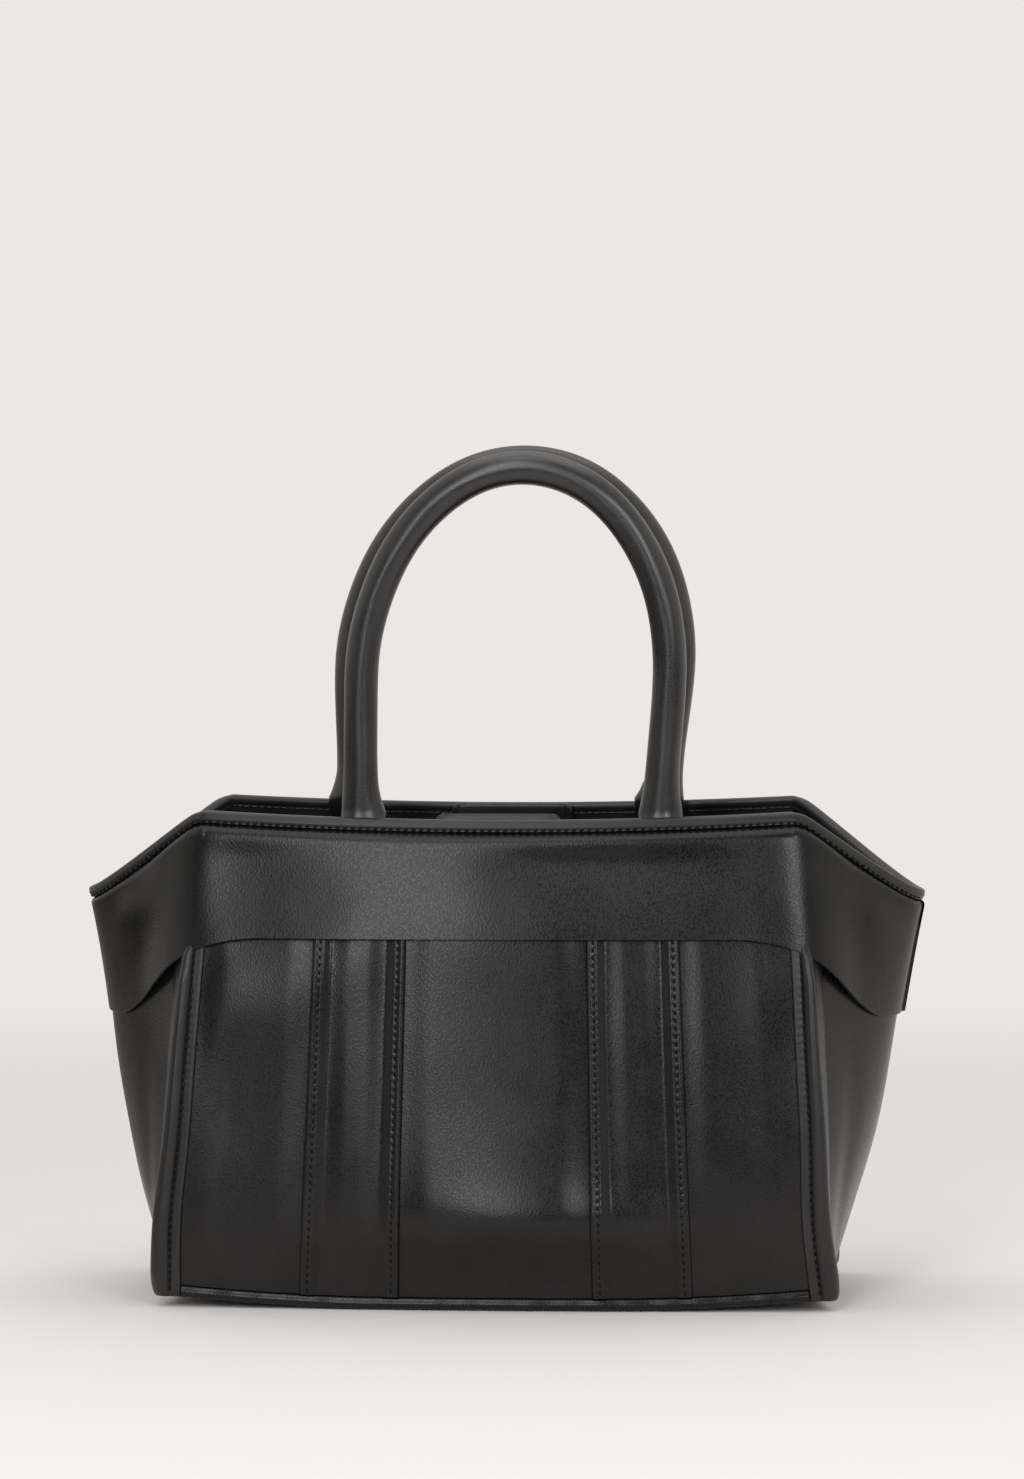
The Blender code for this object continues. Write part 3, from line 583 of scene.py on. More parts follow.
def add_node(tree, kind, **values):
    node = tree.nodes.new(kind)
    for key, value in values.items():
        setattr(node, key, value)
    return node


def plug(tree, value, socket):
    """Links another node's socket to this one, or sets it to a plain number or colour."""
    if isinstance(value, bpy.types.NodeSocket):
        tree.links.new(value, socket)
    else:
        socket.default_value = value


def feed(tree, node, **values):
    """Plugs values into the inputs of a node, each named with _ for a space."""
    for name, value in values.items():
        plug(tree, value, node.inputs[name.replace("_", " ")])
    return node


def new_material(name, colour, roughness, metallic=0.0):
    material = bpy.data.materials.new(name)
    material.use_nodes = True
    tree = material.node_tree
    shader = feed(tree, tree.nodes["Principled BSDF"], Base_Color=(*colour, 1.0),
                  Roughness=roughness, Metallic=metallic)
    return material, tree, shader


def object_space(tree, scale=(1.0, 1.0, 1.0), turn=(0.0, 0.0, 0.0)):
    here = add_node(tree, "ShaderNodeTexCoord").outputs["Object"]
    mapping = add_node(tree, "ShaderNodeMapping")
    return feed(tree, mapping, Scale=scale, Rotation=turn, Vector=here).outputs["Vector"]


def noise(tree, vector, scale, detail=2.0, roughness=0.5):
    node = add_node(tree, "ShaderNodeTexNoise")
    feed(tree, node, Scale=scale, Detail=detail, Roughness=roughness, Vector=vector)
    return node.outputs["Fac"]


def spread(tree, value, low, high, to_low, to_high):
    node = add_node(tree, "ShaderNodeMapRange", interpolation_type="SMOOTHSTEP")
    feed(tree, node, From_Min=low, From_Max=high, To_Min=to_low, To_Max=to_high, Value=value)
    return node.outputs["Result"]


def combine(tree, operation, first, second):
    node = add_node(tree, "ShaderNodeMath", operation=operation)
    plug(tree, first, node.inputs[0])
    plug(tree, second, node.inputs[1])
    return node.outputs[0]


def tint(tree, shader, value, dark, light):
    """Colour that wanders between dark and light."""
    node = add_node(tree, "ShaderNodeMix", data_type="RGBA")
    feed(tree, node, A=(*dark, 1.0), B=(*light, 1.0), Factor=value)
    feed(tree, shader, Base_Color=node.outputs["Result"])


def bump(tree, shader, height, distance):
    node = feed(tree, add_node(tree, "ShaderNodeBump"), Distance=distance, Height=height)
    feed(tree, shader, Normal=node.outputs["Normal"])


def mixed(tree, *sources):
    """Mixes two shaders: the share of the second, the first, and the second unless it is black."""
    node = add_node(tree, "ShaderNodeMixShader")
    for socket, source in zip(node.inputs, sources):
        plug(tree, source, socket)
    return node.outputs[0]


def once(name):
    """Makes a look when it is first asked for, and hands out the same one after that."""
    def shared(make):
        @functools.wraps(make)
        def look(context):
            return bpy.data.materials.get(name) or make(context, name)
        return look
    return shared


def leather(context, kind):
    """Pebbled leather: furrows between rounded cells, fine pores, and patches of softer gloss."""
    name = kind + "_leather_look"
    found = bpy.data.materials.get(name)
    if found:
        return found
    settings = context.scene.bag_leather
    tone, grain_share, depth_share, roughness, polish, turn = LEATHERS[kind]
    colour = getattr(settings, tone)
    grain = grain_share * settings.grain
    material, tree, shader = new_material(name, colour, roughness)
    space = object_space(tree, (1.0, 1.0, 0.82), (0.0, turn, 0.0))
    cells = add_node(tree, "ShaderNodeTexVoronoi", feature="SMOOTH_F1")
    feed(tree, cells, Scale=1 / grain, Smoothness=0.35, Vector=space)
    pebbles = spread(tree, cells.outputs["Distance"], 0.15, 0.62, 1.0, 0.0)
    pores = noise(tree, space, 2.6 / grain, 2.0)
    height = combine(tree, "ADD", pebbles, combine(tree, "MULTIPLY", pores, 0.15))
    bump(tree, shader, height, depth_share * settings.grain_depth)
    patches = noise(tree, space, 60.0, 3.0)
    gloss = spread(tree, patches, 0.3, 0.7, roughness - 0.012, roughness + 0.012)
    furrows = spread(tree, pebbles, 0.0, 0.6, 0.08, 0.0)
    uneven = combine(tree, "ADD", gloss, furrows)
    feed(tree, shader, Roughness=uneven, Specular_IOR_Level=polish)
    darker = tuple(0.72 * part for part in colour)
    lighter = tuple(1.25 * part for part in colour)
    tint(tree, shader, spread(tree, patches, 0.3, 0.7, 0.0, 1.0), darker, lighter)
    return material


@once("edge_paint_look")
def edge_paint(context, name):
    """Smooth satin paint on the cut edges, a little uneven."""
    colour = context.scene.bag_leather.edge_colour
    material, tree, shader = new_material(name, colour, 0.42)
    space = object_space(tree)
    lumps = noise(tree, space, 500.0, 3.0)
    bump(tree, shader, lumps, 0.00008)
    feed(tree, shader, Roughness=spread(tree, lumps, 0.3, 0.7, 0.36, 0.52))
    lighter = tuple(1.5 * part for part in colour)
    tint(tree, shader, noise(tree, space, 90.0), colour, lighter)
    return material


@once("thread_look")
def thread_look(context, name):
    """Twisted black sewing thread."""
    colour = context.scene.bag_thread.colour
    material, tree, shader = new_material(name, colour, 0.75)
    space = object_space(tree, (1.0, 1.0, 1.0), (0.3, 0.7, 0.2))
    twist = add_node(tree, "ShaderNodeTexWave", wave_type="BANDS", bands_direction="DIAGONAL")
    feed(tree, twist, Scale=900.0, Distortion=1.2, Vector=space)
    bump(tree, shader, twist.outputs["Fac"], 0.00012)
    lighter = tuple(1.8 * part for part in colour)
    tint(tree, shader, twist.outputs["Fac"], colour, lighter)
    feed(tree, shader, Sheen_Weight=0.05, Specular_IOR_Level=0.15)
    return material


@once("lining_cloth_look")
def lining_cloth(context, name):
    """Black twill lining."""
    colour = (0.020, 0.018, 0.016)
    material, tree, shader = new_material(name, colour, 0.78)
    heights = []
    for turn in (0.6, -0.9):
        weave = add_node(tree, "ShaderNodeTexWave", wave_type="BANDS", bands_direction="Z")
        space = object_space(tree, turn=(turn, turn, 0.0))
        feed(tree, weave, Scale=620.0, Distortion=0.4, Vector=space)
        heights.append(weave.outputs["Fac"])
    weave_height = combine(tree, "MULTIPLY", heights[0], heights[1])
    bump(tree, shader, weave_height, 0.00010)
    lighter = (0.034, 0.031, 0.028)
    tint(tree, shader, weave_height, colour, lighter)
    feed(tree, shader, Sheen_Weight=0.25, Sheen_Roughness=0.45)
    return material


@once("snap_steel_look")
def steel(context, name):
    """Nickel-plated steel, brushed in fine rings by its stamping."""
    material, tree, shader = new_material(name, (0.56, 0.56, 0.57), 0.26, 1.0)
    space = object_space(tree)
    scuffs = noise(tree, space, 260.0, 4.0)
    feed(tree, shader, Roughness=spread(tree, scuffs, 0.3, 0.7, 0.20, 0.36))
    bump(tree, shader, noise(tree, space, 1400.0, 2.0), 0.00003)
    tint(tree, shader, scuffs, (0.48, 0.48, 0.49), (0.62, 0.62, 0.63))
    return material


def fibre(name, dark, light, scale, depth, roughness):
    """Pressed board or cotton filling, which only shows where a piece is taken off."""
    material, tree, shader = new_material(name, dark, roughness)
    space = object_space(tree, (1.0, 0.4, 1.0))
    strands = noise(tree, space, scale, 5.0, 0.7)
    bump(tree, shader, strands, depth)
    tint(tree, shader, strands, dark, light)
    feed(tree, shader, Roughness=spread(tree, strands, 0.2, 0.8, roughness, 1.0))
    return material


def panel_skin(qs, back, outer, inner, spacing=0.0025):
    """One wall piece from the base trim up under the collar."""
    ring_q = np.concatenate([qs, qs[::-1]])
    count = len(qs)
    rows = int(0.18 / spacing)

    def place(k, s):
        q = ring_q[k]
        bottom = foot_height(q) + BASE_TRIM_HEIGHT + GAP
        top = rim_height(q, back) - PANEL_TOP_BELOW_RIM
        z = bottom + (top - bottom) * s / (rows - 1)
        soft = softness(q, z, back)
        face = np.where(k < count, outer(q, z), inner(q, z))
        return wall(q, z, face + soft, back)

    return skin(2 * count, rows, place)


def strip_face(near, z, thread):
    """Height of a lapped strip's face at a distance from its nearer edge."""
    full = LAYER + LEATHER + 0.0005
    low = LEATHER + 0.0004 * eased((near - 0.009) / 0.008)
    edge = LAYER + (full - LAYER) * rounded(near, 0.0011)
    face = edge + (low - full) * eased((near - 0.0042) / 0.0042)
    face = face + 0.00018 * dent(near - 0.0019, 0.0010)
    return face - seam_groove(near - STRIP_SEAM, 0.00065, z, thread)


class HANDBAG_OT_wall_panels(bpy.types.Operator):
    """Middle and side panels of the front and back walls"""

    bl_idname = "handbag.wall_panels"
    bl_label = "Wall panels"

    def execute(self, context):
        look = leather(context, "panel")
        puff = context.scene.bag_leather.puff
        middle = (STRIP_INNER_EDGE + PANEL_UNDER_LAP) / BASE_HALF_WIDTH
        inner_edge = STRIP_INNER_EDGE / BASE_HALF_WIDTH
        side_start = (STRIP_OUTER_EDGE - PANEL_UNDER_LAP) / BASE_HALF_WIDTH
        outer_edge = STRIP_OUTER_EDGE / BASE_HALF_WIDTH
        flange = 1 - CORNER_TRIM_FRONT_FLANGE / BASE_HALF_WIDTH

        def centre_face(q, z):
            return LEATHER + puff * eased((inner_edge - np.abs(q)) / 0.10)

        def side_face(q, z):
            near = np.minimum(np.abs(q) - outer_edge, flange - np.abs(q))
            return LEATHER + puff * eased(near / 0.08)

        def inside(q, z):
            return np.zeros_like(q)

        for back, word in SIDES:
            qs = steps(-middle, middle, 0.016)
            bm = panel_skin(qs, back, centre_face, inside)
            stand_in(word + "_centre_panel", bm, [look])
            for sign, hand in hands(back):
                qs = sign * steps(side_start, 0.995, 0.016)
                bm = panel_skin(qs[::sign], back, side_face, inside)
                stand_in(word + "_side_panel_" + hand, bm, [look])
        return {"FINISHED"}


class HANDBAG_OT_strips(bpy.types.Operator):
    """Strips lapped over the panels, with a turned edge and a row of stitches at each side"""

    bl_idname = "handbag.strips"
    bl_label = "Lapped strips"

    def execute(self, context):
        look = leather(context, "panel")
        thread = context.scene.bag_thread
        width = STRIP_OUTER_EDGE - STRIP_INNER_EDGE
        across = edge_steps(width, 0.0009)

        def nearer(q):
            x = np.abs(q) * BASE_HALF_WIDTH
            return np.maximum(0.0, np.minimum(x - STRIP_INNER_EDGE, STRIP_OUTER_EDGE - x))

        def face(q, z):
            return strip_face(nearer(q), z, thread)

        def inside(q, z):
            return LAYER * (1 - eased((nearer(q) - 0.0046) / 0.0032))

        for back, word in SIDES:
            for sign, hand in hands(back):
                qs = sign * (STRIP_INNER_EDGE + across) / BASE_HALF_WIDTH
                bm = panel_skin(qs, back, face, inside, spacing=thread.pitch / ROWS_PER_STITCH)
                node = word + "_strip_" + hand
                stand_in(node, bm, [look])
                for side, x in (("inner", STRIP_INNER_EDGE + STRIP_SEAM),
                                ("outer", STRIP_OUTER_EDGE - STRIP_SEAM)):
                    q = sign * x / BASE_HALF_WIDTH

                    def height(z):
                        seam = strip_face(np.full_like(z, STRIP_SEAM), z, thread)
                        return seam + softness(q, z, back) + 0.25 * thread.thickness

                    name = node + "_stitches_" + side
                    bottom = float(foot_height(q)) + BASE_TRIM_HEIGHT + GAP
                    sew_upright(context, name, q, back, bottom, height)
        return {"FINISHED"}


class HANDBAG_OT_gussets(bpy.types.Operator):
    """The two end walls, each round from the front corner to the back corner"""

    bl_idname = "handbag.gussets"
    bl_label = "Gussets"

    def execute(self, context):
        look = leather(context, "panel")
        half = np.concatenate([steps(2.01, 2.9, 0.035), steps(2.9, 3.0, 0.02)[1:]])
        rows = 72
        for name, sign in (("gusset_right", 1), ("gusset_left", -1)):
            path = [(sign * q, False) for q in half] + [(-sign * q, True) for q in half[-2::-1]]
            qs = np.array([q for q, _ in path])
            behind = np.array([back for _, back in path])
            count = len(path)

            def place(k, s):
                column = np.where(k < count, k, 2 * count - 1 - k)
                q = qs[column]
                back = behind[column]
                bottom = foot_height(q) + GAP
                top = np.where(back, rim_height(q, True), rim_height(q)) - PANEL_TOP_BELOW_RIM
                z = bottom + (top - bottom) * s / (rows - 1)
                out = np.where(k < count, LEATHER, 0.0) + self.slack(q, z, sign < 0)
                return wall(q, z, out, back)

            bm = skin(2 * count, rows, place)
            stand_in(name, bm, [look])
        return {"FINISHED"}

    def slack(self, q, z, on_left):
        """Soft swells and upright folds of the end wall between base and collar."""
        middle = dent(np.abs(q) - 3.0, 0.45)
        crease = dent(np.abs(q) - 2.40, 0.11)
        reach = 0.0016 if on_left else 0.0006
        return reach * middle * dent(z - 0.090, 0.045) - 0.0007 * crease * dent(z - 0.060, 0.040)


def corner_trim_face(q, thread, z):
    """Height of the padded corner trim over the wall: flange, seam, then the roll."""
    along = np.abs(q)
    flange_edge = 1 - CORNER_TRIM_FRONT_FLANGE / BASE_HALF_WIDTH
    from_edge = (along - flange_edge) * BASE_HALF_WIDTH
    flange = LAYER + CORNER_TRIM_LEATHER * rounded(from_edge, 0.0007)
    share = np.clip((along - CORNER_ROLL_START) / (CORNER_TRIM_END - CORNER_ROLL_START), 0, 1)
    under = z - collar_height(along)
    height = 1 + ROLL_FULLER_BELOW_COLLAR * eased((-under - 0.002) / 0.010)
    height = height - ROLL_PRESSED_UNDER_COLLAR * eased((under + 0.002) / 0.006)
    roll = CORNER_TRIM_ROLL * height * np.sin(math.pi * share) ** 0.66
    end = 0.5 * CORNER_TRIM_LEATHER * (1 - rounded(CORNER_TRIM_END - along, 0.10))
    return flange + roll - seam_groove(along - CORNER_SEAM_Q, 0.065, z, thread) - end


class HANDBAG_OT_corner_trims(bpy.types.Operator):
    """Padded trims over the four upright corners, with their row of stitches"""

    bl_idname = "handbag.corner_trims"
    bl_label = "Corner trims"

    corners = (
        ("corner_trim_front_right", 1, False), ("corner_trim_front_left", -1, False),
        ("corner_trim_back_left", 1, True), ("corner_trim_back_right", -1, True),
    )

    def execute(self, context):
        look = leather(context, "trim")
        thread = context.scene.bag_thread
        flange = CORNER_TRIM_FRONT_FLANGE / BASE_HALF_WIDTH
        near_edge = np.array([0.0, 0.0012, 0.0030, 0.0055]) + 1 - flange
        outer_q = np.concatenate([near_edge, steps(1 - flange + 0.011, 1.0, 0.006),
                                  steps(1.02, 1.12, 0.02),
                                  steps(1.15, CORNER_TRIM_END, 0.045)])
        inner_q = steps(2.08, 1 - flange, 0.12)
        ring_q = np.concatenate([outer_q, inner_q])
        count = len(outer_q)
        foot = float(foot_height(1.0)) + GAP
        end = FRONT_RIM_HEIGHT - PANEL_TOP_BELOW_RIM - 0.002
        heights = np.concatenate([
            foot + np.array([0.0, 0.0003, 0.0008, 0.0016, 0.0026, 0.004]),
            steps(foot + 0.0048, end, thread.pitch / ROWS_PER_STITCH),
        ])

        def height(z):
            seam = corner_trim_face(np.full_like(z, CORNER_SEAM_Q), thread, z)
            return seam + 0.3 * thread.thickness

        for name, sign, back in self.corners:
            def place(k, s):
                q = ring_q[k]
                z = heights[s]
                swell = rounded(z - foot + 0.0002, 0.003 + 0.010 * eased((q - 1.1) / 0.4))
                face = corner_trim_face(q, thread, z)
                face = LAYER + (face - LAYER) * (0.35 + 0.65 * swell)
                under = LAYER + np.where(q > 1.85, GAP, 0.0)
                return wall(sign * q, z, np.where(k < count, face, under), back)

            bm = skin(len(ring_q), len(heights), place)
            piece = stand_in(name, bm, [look])
            q = sign * CORNER_SEAM_Q
            sew_upright(context, name + "_stitches", q, back, foot, height)
        return {"FINISHED"}


def rim_track(back, spacing):
    """q at even spacing along the rim, from one wing tip to the other, and the distance there."""
    fine = np.linspace(-3.0, 3.0, 6001)
    line = wall(fine, rim_height(fine, back) - 0.02, COLLAR_OUT, back)
    run = distance_along(line)
    distance = np.linspace(0.0, run[-1], int(round(run[-1] / spacing)) + 1)
    return np.interp(distance, run, fine), distance


def collar_out(q, below):
    """How far the collar's inner face stands out, at a depth below the rim."""
    along = np.abs(q)
    front = COLLAR_OUT + (COLLAR_CORNER_OUT - COLLAR_OUT) * eased((along - 0.93) / 0.27)
    fall = eased((along - COLLAR_WING_START) / COLLAR_WING_RUN)
    wing = COLLAR_CORNER_OUT + (COLLAR_WING_STAND_OFF - COLLAR_CORNER_OUT) * fall
    out = np.where(along <= 1.5, front, wing)
    out = out + 0.0013 * dent(along - 2.5, 0.22) * dent(below - 0.021, 0.013)
    run = 0.0052 - 0.0030 * eased((along - 2.3) / 0.5)
    return out * np.sin(0.5 * math.pi * np.clip((below - COLLAR_SHOULDER) / run, 0, 1))


def softened(points, amount, run, reach):
    """Points eased along their second axis over a reach in metres, as far as amount says."""
    weights = dent(run[:, None] - run[None, :], reach)
    weights = weights / weights.sum(axis=1, keepdims=True)
    return points + amount[..., None] * (np.einsum("ij,kjc->kic", weights, points) - points)


class HANDBAG_OT_collars(bpy.types.Operator):
    """The deep collar under the rim, with wings whose cut edges meet in an outward seam"""

    bl_idname = "handbag.collars"
    bl_label = "Collars"

    def execute(self, context):
        thread = context.scene.bag_thread
        looks = [leather(context, "collar"), edge_paint(context)]
        # The closed outline: down the outer face, over the painted cut edge, and up the inner face
        upper = [0.0, 0.10, 0.15, 0.20, 0.25, 0.31, 0.38, 0.46, 0.55, 0.65, 0.77, 0.90]
        shares = np.concatenate([np.array(upper) * 0.30, np.linspace(0.30, 0.97, 20),
                                 [0.985, 0.995]])
        edge = np.array([0.25, 0.75])
        inner_shares = np.array([0.995, 0.97, 0.8, 0.6, 0.4, 0.3, 0.24, 0.18, 0.12, 0.06, 0.0])
        ring_share = np.concatenate([shares, [1.0, 1.0], inner_shares])
        ring_thick = np.concatenate([np.ones(len(shares)), 1 - edge, np.zeros(len(inner_shares))])
        painted = (len(shares) - 1, len(shares) + 2)
        # At each wing tip, four more stations grow into the edge of the outward seam
        fins = np.array([0.25, 0.5, 0.75, 1.0])
        for back, word in SIDES:
            qs, run = rim_track(back, thread.pitch / ROWS_PER_STITCH)
            kept = np.abs(qs) < WING_SEAM_Q
            qs, run = qs[kept], run[kept]
            track_q = np.concatenate([-np.full(4, WING_SEAM_Q), qs, np.full(4, WING_SEAM_Q)])
            track_run = np.concatenate([np.full(4, run[0]), run, np.full(4, run[-1])])
            fin = np.concatenate([fins[::-1], np.zeros(len(qs)), fins])

            corners = np.interp((-1.5, 1.5), qs, run)
            near = np.min(np.abs(track_run[:, None] - corners), axis=1)

            def place(k, s, pulled):
                q = track_q[s]
                share = ring_share[k]
                thick = ring_thick[k]
                inner_q = np.where(fin[s] > 0, np.sign(q) * 3.0, q)
                q = np.where(thick < 0.5, inner_q, q)
                top = rim_height(q, back) - RIM_STACK_TOP
                low = collar_height(q)
                z = top + (low - top) * share
                below = rim_height(q, back) - z
                out = collar_out(q, below) + softness(q, z, back, 1.5, 0.5)
                pucker = dent(below - COLLAR_SHOULDER - 0.001, 0.0012)
                pucker = pucker * waves(track_run[s], thread.pitch)
                face = out + COLLAR_LEATHER * thick - 0.00035 * pucker * thick * pulled
                points = wall(q, z, face, back)
                turned = -1.0 if back else 1.0
                side = np.sign(track_q[s]) * turned
                # The seam's edge starts under the rim trim, and the left one is turned to the back
                grown = fin[s] * eased((below - RIM_TRIM_HEIGHT + 0.0006) / 0.0010)
                seam_y = -turned * (GAP / 2 + COLLAR_LEATHER * thick)
                in_fin = eased(fin[s] * 3)
                points[..., 1] += (seam_y - points[..., 1]) * in_fin
                outwards = np.where(side > 0, 1.0, -0.35)
                backwards = np.where(side > 0, 0.0, 0.9)
                points[..., 0] += outwards * COLLAR_SEAM_EDGE * grown
                points[..., 1] += backwards * COLLAR_SEAM_EDGE * grown
                return points, below

            rings, stations = np.ogrid[:len(ring_share), :len(track_q)]
            points, below = place(rings, stations, 0.0)
            turn = eased((0.028 - near) / 0.014) * eased((below - COLLAR_SHOULDER) / 0.006)
            shift = softened(points, turn, track_run, 0.0095) - points
            points = place(rings, stations, 1.0)[0] + shift
            bm = skin(len(ring_share), len(track_q), lambda k, s: points[k, s], painted)
            stand_in("collar_" + word, bm, looks)
        return {"FINISHED"}


class HANDBAG_OT_rim_trims(bpy.types.Operator):
    """Folded strips over the top edges, sewn through along their lower edge"""

    bl_idname = "handbag.rim_trims"
    bl_label = "Rim trims"

    def execute(self, context):
        thread = context.scene.bag_thread
        looks = [leather(context, "trim"), edge_paint(context)]
        outer_in = COLLAR_LEATHER + 2 * GAP
        inner_in = -GAP - FACING_LEATHER - GAP
        outer = outer_in + RIM_TRIM_LEATHER
        inner = RIM_INNER_FACE
        middle = (outer + inner) / 2
        half = (outer - inner) / 2
        bottom = RIM_TRIM_HEIGHT
        arch = np.linspace(0, math.pi, 15)
        drops = np.array([bottom, bottom - 0.0002, bottom - 0.0006, bottom - 0.0010,
                          bottom - 0.0015, bottom - 0.0021])
        outs = np.concatenate([
            [outer - 0.0006], outer + np.array([-0.0003, -0.0002, -0.0001, 0.0001, 0.0002]),
            middle + half * squared_off(np.cos(arch), 0.7),
            np.full(5, inner), [inner + 0.0006, inner_in, inner_in, outer_in, outer_in],
        ])
        falls = np.concatenate([
            drops, RIM_CROWN * (1 - np.sin(arch) ** 0.8) - RIM_CROWN_RISE, drops[::-1],
            [bottom, 0.0012, 0.0012, bottom],
        ])
        seam = dent(falls - RIM_SEAM_DROP, 0.0005) * np.sign(np.round(outs - middle, 4))
        seam[-4:] = 0
        for back, word in SIDES:
            qs, run = rim_track(back, thread.pitch / ROWS_PER_STITCH)
            slope = np.gradient(rim_height(qs, back), run)
            stretch = np.where(np.abs(qs) > 2.05, np.sqrt(1 + slope ** 2), 1.0)

            def place(k, s):
                q = qs[s]
                pull = thread.groove * (0.35 + 0.65 * waves(run[s], thread.pitch))
                out = outs[k] - 0.8 * pull * seam[k]
                z = rim_height(q, back) - falls[k] * stretch[s]
                return parted(wall(q, z, out, back), q, back)

            bm = skin(len(outs), len(qs), place)
            stand_in("rim_trim_" + word, bm, looks, sharp=50)
            spots = (np.arange(1, int(run[-1] / thread.pitch) - 1) + 0.5) * thread.pitch
            q = np.interp(spots, run, qs)
            fall = RIM_SEAM_DROP * np.interp(spots, run, stretch)
            z = rim_height(q, back) - fall
            sink = 0.45 * thread.groove
            points, normals = wall_seam(q, z, outer - sink, back)
            name = "rim_trim_" + word + "_stitches"
            stitch_row(context, name + "_outside", points, normals)
            points, normals = wall_seam(q, z, inner + sink, back)
            stitch_row(context, name + "_inside", points, -normals)
        return {"FINISHED"}


class HANDBAG_OT_facings(bpy.types.Operator):
    """Leather bands inside the mouth, sewn down over the lining"""

    bl_idname = "handbag.facings"
    bl_label = "Facings"

    def execute(self, context):
        look = leather(context, "trim")
        thread = context.scene.bag_thread
        depths = np.array([0.0018, 0.0045, 0.0075, 0.0098, 0.0119, 0.016, 0.021, 0.026, 0.031,
                           0.0352, FACING_SEAM_DEPTH, 0.0372, 0.0376, FACING_DEPTH])
        upper = -GAP - FACING_LEATHER
        lower = FACING_INNER_FACE
        inner_face = np.where(depths < 0.0095, upper, lower)
        ring_depth = np.concatenate([depths, depths[::-1]])
        ring_out = np.concatenate([inner_face, inner_face[::-1] + FACING_LEATHER])
        ring_out[len(depths) - 1] += 0.0003
        for back, word in SIDES:
            qs, run = rim_track(back, 0.0022)

            def place(k, s):
                q = qs[s]
                z = rim_height(q, back) - ring_depth[k]
                return parted(wall(q, z, ring_out[k] + softness(q, z, back), back), q, back)

            bm = skin(len(ring_out), len(qs), place)
            stand_in("facing_" + word, bm, [look])
            spots = np.arange(2, int(run[-1] / thread.pitch) - 2) * thread.pitch
            q = np.interp(spots, run, qs)
            z = rim_height(q, back) - FACING_SEAM_DEPTH
            points, normals = wall_seam(q, z, lower + softness(q, z, back), back)
            stitch_row(context, "facing_" + word + "_stitches", points, -normals)
        return {"FINISHED"}


class HANDBAG_OT_base(bpy.types.Operator):
    """Base panel and the rounded trims along the foot of the front and back walls"""

    bl_idname = "handbag.base"
    bl_label = "Base"

    def execute(self, context):
        self.panel(context)
        for back, word in SIDES:
            self.trim(context, back, word)
        return {"FINISHED"}

    def panel(self, context):
        columns, rows = 90, 44

        def place(k, s):
            under = k >= columns
            column = np.where(under, 2 * columns - 1 - k, k)
            h = 2 * column / (columns - 1) - 1
            v = 2 * s / (rows - 1) - 1
            end = wall(3.0 - np.abs(v), 0.0, 0.0)[..., 0]
            whole = np.where(np.abs(v) < 1, end, corner_x(0) + CORNER_RADIUS)
            x = h * (whole - GAP)
            depth = BASE_HALF_DEPTH + WALL_BULGE * (1 - h * h) + CORNER_RADIUS - GAP
            z = np.where(under, 0.0, BASE_PANEL_THICKNESS) + lift(x)
            return np.stack([x, v * depth, z], axis=-1)

        bm = skin(2 * columns, rows, place)
        stand_in("base_panel", bm, [leather(context, "panel")])

    def trim(self, context, back, word):
        height, depth = BASE_TRIM_HEIGHT, BASE_TRIM_DEPTH
        turn = np.linspace(-0.5 * math.pi, 0.5 * math.pi, 17)
        outs = np.concatenate([[0.0], 0.30 * depth + 0.70 * depth * np.cos(turn) ** 0.8, [0.0]])
        zs = np.concatenate([[GAP], GAP + (height - GAP) * (0.5 + 0.5 * np.sin(turn)), [height]])
        end = 1 - (CORNER_TRIM_FRONT_FLANGE + GAP) / BASE_HALF_WIDTH
        qs = np.linspace(-end, end, 181)

        def place(k, s):
            q = qs[s]
            wander = 0.00016 * np.sin(q * 23.0) + 0.0001 * np.sin(q * 61.0 + 1.0)
            z = foot_height(q) + zs[k]
            crease = 0.0004 * dent(zs[k] - 0.78 * height, 0.0006)
            out = outs[k] - np.where(outs[k] > 0, crease, 0.0)
            return wall(q, z, out + wander * (outs[k] > 0), back)

        bm = skin(len(outs), len(qs), place)
        stand_in("base_trim_" + word, bm, [leather(context, "panel")])


